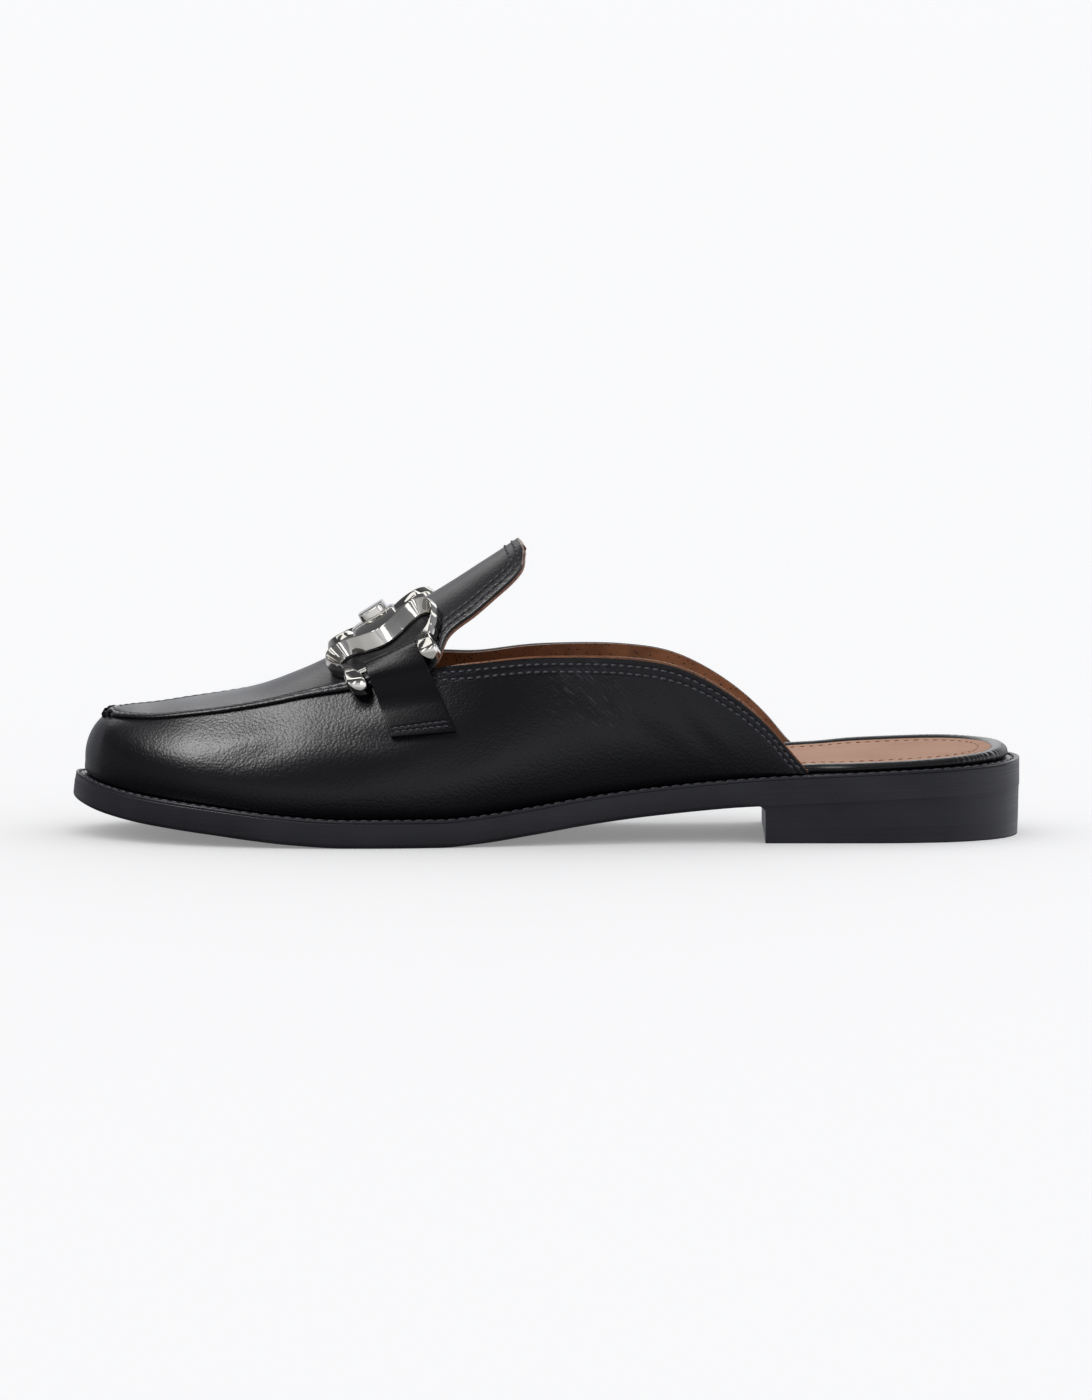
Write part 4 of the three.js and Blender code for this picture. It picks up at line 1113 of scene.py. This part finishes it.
# the distance from the sheet's border, and the place along it, for each point of a grid
def borderField(grid):
    border = np.vstack([grid[::-1, 0], grid[0, 1:-1], grid[:, -1], grid[-1, -2:0:-1]])
    lengths = lengthsAlong(border)
    even = np.arange(0, lengths[-1], 0.25)
    dense = resample(border, even)
    flat = grid.reshape(-1, 3)
    distance = np.empty(len(flat))
    place = np.empty(len(flat))
    for start in range(0, len(flat), 1500):
        block = flat[start:start + 1500]
        gaps = ((block[:, None] - dense[None]) ** 2).sum(-1)
        nearest = gaps.argmin(1)
        distance[start:start + 1500] = np.sqrt(gaps[np.arange(len(block)), nearest])
        place[start:start + 1500] = even[nearest]
    return distance.reshape(grid.shape[:2]), place.reshape(grid.shape[:2])


def apronSheet(lift, start=0.0, reach=(shoe["apronLip"], shoe["apronLip"])):
    look = apronLook
    stations = start + (1 - start) * np.linspace(0, 1, look["stations"])
    free = smoothStep(stations, throatShare - 0.005, throatShare + 0.03)
    reach = reach[0] + (reach[1] - reach[0]) * free
    rows = []
    for side in (-1, 1):
        _, _, _, radius, _, span = apronArc(stations, np.full(len(stations), side))
        half = radius * span + reach
        zone = np.minimum(look["edgeZone"], half * 0.62)[:, None]
        edge = np.linspace(0, 1, look["edgeRows"])[None] * zone
        steps = np.linspace(0, 1, look["middleRows"] + 1)[None, 1:]
        middle = zone + (half[:, None] - zone) * steps
        distance = np.concatenate([edge, middle], 1)
        across = (half[:, None] - distance) / (radius * span)[:, None]
        across = side * np.maximum(across, 0)
        rows.append(across if side < 0 else across[:, ::-1][:, 1:])
    across = np.concatenate(rows, 1)
    across[:, look["edgeRows"] + look["middleRows"] - 1] = 0
    t = np.broadcast_to(stations[:, None], across.shape)
    return apronPoint(t, across, lift), t


# the cut edge is bare leather above a height, round the tongue's tip
def bareTip(piece, height):
    piece.data.materials.append(rawEdge)
    for face in piece.data.polygons:
        if face.material_index == 1 and face.center.z > height:
            face.material_index = 2


def makeApron():
    look = apronLook
    base, t = apronSheet(shoe["apronStep"])
    normals = surfaceNormals(base)
    if normals[len(normals) // 2, normals.shape[1] // 2, 2] < 0:
        normals = -normals
    distance, place = borderField(base)
    sewn = 1 - smoothStep(t, throatShare - 0.05, throatShare + 0.01)
    lip = look["lipHeight"] * np.exp(-((distance - 1.15) / 0.75) ** 2)
    groove = look["seamGroove"] * np.exp(-((distance - look["seamRow"]) / 0.5) ** 2)
    pucker = look["pucker"] * np.cos(2 * math.pi * place / look["puckerPitch"]) * np.exp(
        -((distance - 1.8) / 0.85) ** 2)
    moved = sewn * (lip - groove + pucker)
    for line in look["tongueRows"]:
        moved -= (1 - sewn) * look["tongueGroove"] * np.exp(-((distance - line) / 0.45) ** 2)
    rounding = np.clip(0.55 - distance, 0, 1) ** 2 * 1.1
    # shallow crossways waves where the instep bends
    wave = look["wave"] * np.sin(t * 62 + 0.5) * np.exp(-((t - throatShare * 0.86) / 0.1) ** 2)
    moved += wave * smoothStep(distance, 3, 9) - rounding * sewn
    grid = base + normals * moved[..., None]
    uv = np.stack([place, distance], -1)
    piece = leatherSheet("apronTongue", grid, uv, look["leather"], 0.32, boxCalf, paintedEdge,
                         normals)
    bareTip(piece, look["bareFrom"])
    finished(piece, "upper_leather", boxCalf, "upper")
    low = shoe["apronStep"] - look["leather"] - look["between"]
    under, _ = apronSheet(low, start=0.02, reach=(-0.25, 0.62))
    lining = leatherSheet("tongueLining", under, uv, look["lining"], 0.2, pigskin, brownEdge,
                          normals)
    bareTip(lining, look["bareFrom"])
    finished(lining, "upper_leather", pigskin)
    return piece


apron = makeApron()
print("apron and tongue made")


# a line on the apron a fixed distance inside its border, over a range of its length
def apronPath(distance, low, high, lift):
    sides = []
    for side in (-1, 1):
        stations = np.linspace(low, high, 400)
        _, _, _, radius, _, span = apronArc(stations, np.full(len(stations), side))
        half = radius * span + shoe["apronLip"]
        across = side * np.maximum(0, half - distance) / (radius * span)
        keep = half > distance + 0.4
        here = apronPoint(stations, across, shoe["apronStep"] + lift)[keep]
        outwards = apronPoint(stations, across, shoe["apronStep"] + lift + 1)[keep] - here
        sides.append((here, unit(outwards)))
    return sides


def frontStart(distance):
    stations = np.linspace(0, 0.3, 600)
    ridge = curveAt(ridgePoints, stations)
    return float(np.interp(distance, lengthsAlong(ridge), stations))


def makeApronStitches():
    look = apronLook
    inside = look["seamRow"]
    start = frontStart(inside)
    (outer, outerUp), (inner, innerUp) = apronPath(
        inside, start, throatShare - 0.01, look["seamDepth"])
    path = np.vstack([outer[::-1], inner])
    up = np.vstack([outerUp[::-1], innerUp])
    stitchRow("seamStitches", [(path, up)], look["seam"], "upper_leather", blackThread, 11)
    rows = []
    lift = look["tongueLift"]
    for inside in look["tongueRows"]:
        stations = np.linspace(0, 1, 1200)
        ridge = curveAt(ridgePoints, stations)
        lengths = lengthsAlong(ridge)
        stop = float(np.interp(lengths[-1] - inside, lengths, stations))
        (outer, outerUp), (inner, innerUp) = apronPath(inside, throatShare + 0.005, stop, lift)
        across = np.linspace(-1, 1, 60)
        _, _, _, radius, _, span = apronArc(np.array(stop), np.array(1))
        bound = max(0.0, 1 - (inside - 1.2) / float(radius * span))
        end = apronPoint(np.full(60, stop), across * bound, shoe["apronStep"] + lift)
        endUp = apronPoint(np.full(60, stop), across * bound, shoe["apronStep"] + 1) - end
        rows.append((np.vstack([outer, end[2:-2], inner[::-1]]),
                     np.vstack([outerUp, unit(endUp)[2:-2], innerUp[::-1]])))
    stitchRow("tongueStitches", rows, look["stitch"], "upper_leather", blackThread, 13)


makeApronStitches()

bit = {
    "centre": 0.676, "linkReach": 15.4, "footGirth": 31, "barGirth": 27.8, "bandBase": 3.7,
    "bandHeight": 4.7, "footRadius": 2.8, "footEnds": (3, 12), "barRadius": 0.8,
    "linkStations": 321, "bridgeLength": 13.4, "bridgeHeight": 3.2, "bridgeGroove": 0.5,
    "bossPlace": 0.9, "bossLength": 8, "bossGirth": 8.6,
}
ridgeStations = np.linspace(0, 1, 8001)
ridgeCurve = curveAt(ridgePoints, ridgeStations)
ridgeLengths = lengthsAlong(ridgeCurve)
evenLengths = np.linspace(0, ridgeLengths[-1], 401)
evenAlong = alongOf(np.interp(evenLengths, ridgeLengths, ridgeCurve[:, 0]))
bitMiddle = evenLengths[int(np.argmax(evenAlong < bit["centre"]))]
print("ornament middle", round(float(bitMiddle), 3), "of", round(float(ridgeLengths[-1]), 3))


# forth runs up the instep, round runs round it, lift is the height over the apron
def bitPoint(forth, round_, lift):
    places = (np.asarray(v, float) for v in (forth, round_, lift))
    forth, round_, lift = np.broadcast_arrays(*places)
    t = np.interp(bitMiddle + forth, ridgeLengths, ridgeStations)
    side = np.where(round_ < 0, -1, 1)
    _, _, _, radius, _, span = apronArc(t, side)
    across = np.abs(round_) / (radius + shoe["apronStep"]) / span
    return apronPoint(t, side * across, shoe["apronStep"] + lift)


linkPoints = np.array(
    [(-forth * bit["linkReach"], far * bit["footGirth"], 0) for forth, far in reversed(linkRows)]
    + [(forth * bit["linkReach"], far * bit["footGirth"], 0) for forth, far in linkRows[1:]],
    float,
)
linkPoints[linkPoints[:, 0] > 8, 0] += 0.6
linkPoints[[0, 1, -2, -1], 0] += (-1.3, -0.8, -1.3, -2.3)  # both feet lean to the toe
linkPoints[[0, -1], 1] += (3.2, 2.2)  # and end below the bar
waveShare = column([row[0] for row in linkRows[:4]], [row[1] for row in linkRows[:4]])

# sections in half widths across and heights up. The band has a narrow crest, one broad slope
# to the tab's side, and on the other side a slope over an upright; the foot is a block
bandSection = [
    (1, 0.06), (0.97, 0.16), (0.62, 0.4), (0.27, 0.64), (-0.07, 0.87), (-0.14, 0.92),
    (-0.2, 0.965), (-0.27, 1), (-0.38, 1), (-0.45, 0.975), (-0.52, 0.93), (-0.73, 0.77),
    (-0.93, 0.6), (-0.98, 0.55), (-1, 0.48), (-1, 0.25), (-1, 0.05), (-0.94, 0), (0, 0), (0.94, 0),
]
footSection = [
    (1, 0.06), (1, 0.2), (1, 0.4), (1, 0.66), (0.98, 0.8), (0.93, 0.9), (0.84, 0.965), (0.7, 1),
    (-0.7, 1), (-0.84, 0.965), (-0.93, 0.9), (-0.98, 0.8), (-1, 0.66), (-1, 0.5), (-1, 0.35),
    (-1, 0.2), (-1, 0.06), (-0.94, 0), (0, 0), (0.94, 0),
]


# a fan that closes the end of a tube
def endCap(name, loop):
    middle = loop[:-1].mean(0)
    return gridPiece(name, np.stack([loop, np.broadcast_to(middle, loop.shape)]))


def makeLink(name, side, node):
    stations = 0.5 - 0.5 * np.cos(np.linspace(0, math.pi, bit["linkStations"]))
    middle = curveAt(linkPoints, stations)
    run = tangentAt(linkPoints, stations)
    walk = lengthsAlong(middle)
    fromEnd = np.minimum(walk, walk[-1] - walk)
    band = smoothStep(fromEnd, *bit["footEnds"])
    radius = bit["footRadius"]
    loops = []
    for i in range(len(stations)):
        section = np.array(footSection) * (1 - band[i]) + np.array(bandSection) * band[i]
        half = radius * (1 - band[i]) + bit["bandBase"] / 2 * band[i]
        toEnd = max(0.0, 1 - fromEnd[i] / radius)
        across = section[:, 0] * half * math.sqrt(max(0.01, 1 - toEnd ** 2))
        up = section[:, 1] * (1 - 0.5 * toEnd ** 2)
        loops.append(bitPoint(
            middle[i, 0] - run[i, 1] * across,
            side * (middle[i, 1] + run[i, 0] * across),
            gap * 0.5 + up * bit["bandHeight"],
        ))
    grid = np.array(loops)
    grid = np.concatenate([grid, grid[:, :1]], 1)
    parts = [gridPiece(name, grid)]
    parts += [endCap(name + "End", loop) for loop in (grid[0], grid[-1])]
    piece = joined(name, parts)
    weldAndTurnOut(piece)
    smooth(piece, 24)
    bar = [bitPoint(end * linkRows[-1][0] * bit["linkReach"], side * bit["barGirth"],
                    gap + bit["bandHeight"] / 2) for end in (1, -1)]
    start, stop = (Vector(point * 0.001) for point in bar)
    deselectAll()
    bpy.ops.mesh.primitive_cylinder_add(vertices=24, radius=bit["barRadius"] * 0.001,
                                        depth=(stop - start).length)
    rod = bpy.context.object
    turn = (stop - start).to_track_quat("Z", "Y")
    rod.data.transform(Matrix.Translation((start + stop) / 2) @ turn.to_matrix().to_4x4())
    smooth(rod, 30)
    piece = joined(name, [piece, rod])
    finished(piece, "nickel", nickel, node)


def bossLoop(size, lift):
    angle = (np.arange(49) + 0.5) / 48 * 2 * math.pi
    forth = np.sign(np.cos(angle)) * np.abs(np.cos(angle)) ** 0.45
    round_ = np.sign(np.sin(angle)) * np.abs(np.sin(angle)) ** 0.45
    return bitPoint(bit["bossPlace"] + forth * size * bit["bossLength"] / 2,
                    round_ * size * bit["bossGirth"] / 2, gap + bit["bridgeHeight"] + lift)


def makeBridge():
    half = bit["bridgeLength"] / 2
    angle = np.linspace(0, 2 * math.pi, 73)
    forth = half * np.sign(np.cos(angle)) * np.abs(np.cos(angle)) ** 0.28
    up = 0.5 + 0.5 * np.sign(np.sin(angle)) * np.abs(np.sin(angle)) ** 0.4
    reach = waveShare(np.abs(forth) / bit["linkReach"]) * bit["footGirth"]
    reach = reach - bit["bandBase"] / 2 - gap * 0.5
    loops = []
    for v in np.linspace(-1, 1, 121):
        crown = 1 - 0.12 * v * v
        groove = bit["bridgeGroove"] * math.exp(-((abs(v) - 0.37) / 0.025) ** 2)
        height = bit["bridgeHeight"] * crown - groove
        loops.append(bitPoint(forth, v * reach, gap * 0.5 + up * height))
    plate = gridPiece("bitPlate", np.array(loops))
    caps = [endCap("bitPlateEnd", loop) for loop in (loops[0], loops[-1])]
    plate = joined("bitPlate", [plate] + caps)
    weldAndTurnOut(plate)
    rings = [bossLoop(size, lift) for size, lift in
             ((1.02, -0.5), (1.01, 0.2), (0.99, 1.2), (0.975, 1.85), (0.96, 1.97), (0.935, 2.05),
              (0.9, 2.09), (0.7, 2.12), (0.4, 2.14), (0.02, 2.15))]
    boss = gridPiece("bitBoss", np.array(rings))
    weldAndTurnOut(boss)
    crown = Vector(rings[-2].mean(0) * 0.001)
    face = min(boss.data.polygons, key=lambda face: (face.center - crown).length)
    if face.normal.z <= 0:
        editMesh(boss, (bpy.ops.mesh.flip_normals, {}))
    piece = joined("bitBridge", [plate, boss])
    smooth(piece, 30)
    finished(piece, "nickel", nickel, "bit_bridge")


makeLink("bitLinkOuter", -1, "bit_link_outer")
makeLink("bitLinkInner", 1, "bit_link_inner")
makeBridge()
print("ornament made")

tab = {
    "thickness": 1.15, "topWidth": 15.4, "shift": -0.5, "front": (0.661, 0.536),
    "back": (0.594, 0.57), "under": 12, "fold": 16, "down": 70, "across": 30, "touch": 0.62,
    "spanTurns": 200, "layTurns": 12, "facingTurns": 30, "lift": 0.25, "cutEdge": 0.3,
    "dip": 0.16, "worn": 0.12, "rows": (0.93, 0.865),
    "stitch": {"pitch": 2.0, "length": 1.7, "width": 0.48, "slant": 5},
}


def boundMesh(pieces):
    points, faces = [], []
    for piece in pieces:
        start = len(points)
        points += [vertex.co[:] for vertex in piece.data.vertices]
        faces += [tuple(v + start for v in face.vertices) for face in piece.data.polygons]
    return BVHTree.FromPolygons(points, faces)


# each point of a grid moves halfway to the mean of its neighbours, down and then across
def relax(grid):
    grid[1:-1] = grid[1:-1] * 0.5 + (grid[:-2] + grid[2:]) * 0.25
    grid[:, 1:-1] = grid[:, 1:-1] * 0.5 + (grid[:, :-2] + grid[:, 2:]) * 0.25


def makeTab(name, side, ground, node):
    def corner(pair):
        along, rise = pair
        return xOf(along), float(soleTopAt(along)) + rise * shoe["collarRise"]

    frontX, frontZ = corner(tab["front"])
    backX, backZ = corner(tab["back"])
    down, wide = tab["down"], tab["across"]
    t = np.linspace(0, 1, down + 1)[:, None]
    e = np.linspace(0, 1, wide + 1)[None]
    top = bitPoint((e[0] - 0.5) * tab["topWidth"] + tab["shift"], side * bit["barGirth"], 0)
    grid = np.zeros((down + 1, wide + 1, 3))
    grid[..., 0] = top[:, 0] * (1 - t) + (frontX * (1 - e) + backX * e) * t
    grid[..., 2] = top[:, 2] * (1 - t) + (frontZ * (1 - e) + backZ * e) * t
    for i in range(down + 1):
        for k in range(wide + 1):
            start = Vector((grid[i, k, 0], side * 88, grid[i, k, 2])) * 0.001
            grid[i, k, 1] = ground.ray_cast(start, Vector((0, -side, 0)))[0][1] * 1000
    # the leather spans hollows and lies smooth over the apron's edge
    far = side * grid[..., 1]
    for _ in range(tab["spanTurns"]):
        far[1:-1] = np.maximum(far[1:-1], (far[:-2] + far[2:]) / 2)
        far[:, 1:-1] = np.maximum(far[:, 1:-1], (far[:, :-2] + far[:, 2:]) / 2)
    for _ in range(tab["layTurns"]):
        relax(far)
    grid[..., 1] = side * far
    out = surfaceNormals(grid)
    out = out * np.sign(out[..., 1:2] * side)
    for _ in range(tab["facingTurns"]):
        relax(out)
    out = unit(out)
    goes = unit(grid[4] - grid[0])
    thick = tab["thickness"]
    barLift = gap + bit["bandHeight"] / 2
    radius = bit["barRadius"] + gap * 0.6 + thick / 2
    t = t[:, 0]
    low = tab["lift"] + thick / 2
    rest = low + (barLift + radius - low) * np.clip(1 - t / tab["touch"], 0, 1) ** 1.5
    centre = grid[0] + out[0] * barLift
    rows = []
    for i in range(tab["under"], 0, -1):
        rows.append(grid[i] + out[i] * (0.15 + thick / 2))
    for angle in np.linspace(math.pi, 0.12, tab["fold"]):
        rows.append(centre + (out[0] * math.cos(angle) - goes * math.sin(angle)) * radius)
    edge = np.abs(np.linspace(-1, 1, wide + 1))
    for i in range(1, down + 1):
        dip = sum(tab["dip"] * np.exp(-((t[i] - row) / 0.012) ** 2) for row in tab["rows"])
        worn = tab["worn"] * edge ** 6
        rows.append(grid[i] + out[i] * (rest[i] - worn * t[i] - dip * (edge < 0.93))[:, None])
    points = np.array(rows)
    piece = gridPiece(name, points)
    applied(piece, "SOLIDIFY", thickness=thick * 0.001, offset=0, use_even_offset=False)
    applied(piece, "BEVEL", width=tab["cutEdge"] * 0.001, segments=2, limit_method="ANGLE",
            angle_limit=math.radians(60), use_clamp_overlap=True)
    weldAndTurnOut(piece)
    smooth(piece, 50)
    finished(piece, "upper_leather", tabCalfShaded, node)
    rowsOfThread = []
    for share in tab["rows"]:
        i = int(round(share * down))
        line = grid[i, 2:-2] + out[i, 2:-2] * (rest[i] + thick / 2 - 0.02)
        rowsOfThread.append((line, out[i, 2:-2]))
    look = dict(tab["stitch"], slant=tab["stitch"]["slant"] * side)
    stitchRow(name + "Stitches", rowsOfThread, look, "upper_leather", blackThread, 17)


ground = boundMesh([outerWall, apron])
makeTab("tabOuter", -1, ground, "tab_outer")
makeTab("tabInner", 1, ground, "tab_inner")
print("tabs made")

# one flat pale floor, wide enough to fill the view
def makeStage():
    places = np.linspace(-10000, 10000, 9)
    floor = gridPiece("floor", np.array([[(x, y, 0) for x in places] for y in places], float))
    floor.data.materials.append(makeBackdrop())
    floor.visible_glossy = False  # the shiny pieces show the dark room past the table instead
    return floor


# the room's brightness by the height of the direction, from straight down to straight up, its
# tint, and its strength from the toe's side to the heel's
room = {
    "heights": [(-1, 0.04), (-0.4, 0.08), (-0.15, 0.6), (0.12, 0.95), (0.35, 0.25), (1, 0.08)],
    "tint": (0.97, 0.985, 1.06), "strength": (0.2, 1.45),
}
dome = {"power": 2.03, "angle": 160, "place": (-0.15, 0.35, 2)}  # the wide ceiling, as a sun
# soft boxes: place and aim in metres, size, power, and whether they light leather or metal; the
# leather's lamps leave the floor even, and the nickel has dimmer ones of its own
lampRows = {
    "key": ((-0.72, -0.42, 1.25), (-0.06, 0, 0.03), (0.36, 0.75), 18.0, "leather"),
    "ceiling": ((-0.1, 0.2, 1.6), (0, 0, 0), (2.2, 2.2), 3.0, "leather"),
    "rear": ((0.45, 1.2, 0.55), (0, 0, 0.04), (1.4, 0.5), 4.8, "leather"),
    "high": ((-0.5, 1.2, 0.9), (0, 0, 0.07), (0.9, 0.6), 2.5, "leather"),
    "keyShown": ((-0.72, -0.42, 1.25), (-0.06, 0, 0.03), (0.4, 0.8), 1.2, "metal"),
    "rearShown": ((0.3, 1.3, 0.7), (0, 0, 0.05), (1.0, 0.3), 1.2, "metal"),
    "table": ((0, -0.3, 0.0005), (0, -0.3, 1), (1.2, 1.2), 1.6, "metal"),
    "side": ((1.3, 0.1, 0.5), (0.1, 0, 0.02), (0.5, 0.7), 3.0, "leather"),
}
# narrow panels in front and overhead, for the bright stripes in the nickel: place and width,
# all with one aim, one height and one power for each 0.3 m of width
stripes = {
    "panel": {"aim": (-0.04, 0, 0.055), "high": 0.9, "power": 1.2, "rows": [
        ((-0.95, -1.5, 0.5), 0.3), ((-0.3, -1.5, 0.62), 0.16), ((0.35, -1.5, 0.55), 0.34),
        ((1.1, -1.5, 0.5), 0.2)]},
    "overhead": {"aim": (-0.04, 0, 0.055), "high": 1.3, "power": 1.5, "rows": [
        ((-1.1, 0.1, 1.4), 0.34), ((-0.35, 0.25, 1.4), 0.2), ((0.3, -0.1, 1.4), 0.3),
        ((1.0, 0.3, 1.4), 0.34)]},
}


def lampAt(name, light, place, aim, receivers):
    lamp = bpy.data.objects.new(name, light)
    lamp.location = place
    lamp.rotation_euler = (Vector(aim) - Vector(place)).to_track_quat("-Z", "Y").to_euler()
    scene.collection.objects.link(lamp)
    lamp.light_linking.receiver_collection = receivers
    return lamp


def softBox(name, place, aim, size, power, receivers):
    light = bpy.data.lights.new(name, "AREA")
    light.shape = "RECTANGLE"
    light.size, light.size_y = size
    light.energy = power
    lampAt(name, light, place, aim, receivers).visible_camera = False


def makeStudio(receivers):
    world = bpy.data.worlds.new("studio")
    scene.world = world
    world.use_nodes = True
    tree = world.node_tree
    way = addNode(tree, "ShaderNodeTexCoord").outputs["Generated"]
    apart = addNode(tree, "ShaderNodeSeparateXYZ", {"Vector": way})
    share = addNode(tree, "ShaderNodeMapRange", {"Value": apart.outputs["Z"], "From Min": -1.0})
    tone = addNode(tree, "ShaderNodeValToRGB", {"Fac": share.outputs["Result"]},
                   [((z + 1) / 2, value) for z, value in room["heights"]]).outputs["Color"]
    cool = addNode(tree, "ShaderNodeVectorMath", {0: tone, 1: room["tint"]},
                   operation="MULTIPLY").outputs[0]
    strength = addNode(tree, "ShaderNodeMapRange", {"Value": apart.outputs["X"], "From Min": -1.0,
                       "To Min": room["strength"][0], "To Max": room["strength"][1]})
    feed(tree, tree.nodes["Background"], {"Color": cool, "Strength": strength.outputs["Result"]})
    ceiling = bpy.data.lights.new("dome", "SUN")
    ceiling.energy = dome["power"]
    ceiling.angle = math.radians(dome["angle"])
    lampAt("dome", ceiling, dome["place"], (0, 0, 0), receivers["floor"])
    for name, (place, aim, size, power, lit) in lampRows.items():
        softBox(name, place, aim, size, power, receivers[lit])
    for name, look in stripes.items():
        for place, wide in look["rows"]:
            softBox(name, place, look["aim"], (wide, look["high"]), look["power"] * wide / 0.3,
                    receivers["metal"])


view = {
    "elevation": 5.5, "distance": 3.0, "aimHeight": 0.0367, "pixelsPerMillimetre": 3.6145,
    "rows": 1400, "sensor": 24, "farEnd": 50,
}


def makeCamera():
    angle = math.radians(view["elevation"])
    camera = bpy.data.cameras.new("camera")
    camera.sensor_fit = "VERTICAL"
    camera.sensor_height = view["sensor"]
    frameHeight = view["rows"] / view["pixelsPerMillimetre"] * 0.001
    camera.lens = view["sensor"] * view["distance"] / frameHeight
    camera.clip_end = view["farEnd"]
    lens = bpy.data.objects.new("camera", camera)
    lens.location = (0, -view["distance"] * math.cos(angle),
                     view["aimHeight"] + view["distance"] * math.sin(angle))
    lens.rotation_euler = (math.pi / 2 - angle, 0, 0)
    scene.collection.objects.link(lens)
    scene.camera = lens


lit = {name: bpy.data.collections.new(name + "Only") for name in ("leather", "metal", "floor")}
for piece in scene.objects:
    if piece.type == "MESH":
        shiny = piece.data.materials and piece.data.materials[0] == nickel
        lit["metal" if shiny else "leather"].objects.link(piece)
lit["floor"].objects.link(makeStage())
makeStudio(lit)
makeCamera()
scene.view_settings.view_transform = "Standard"
print("stage set")
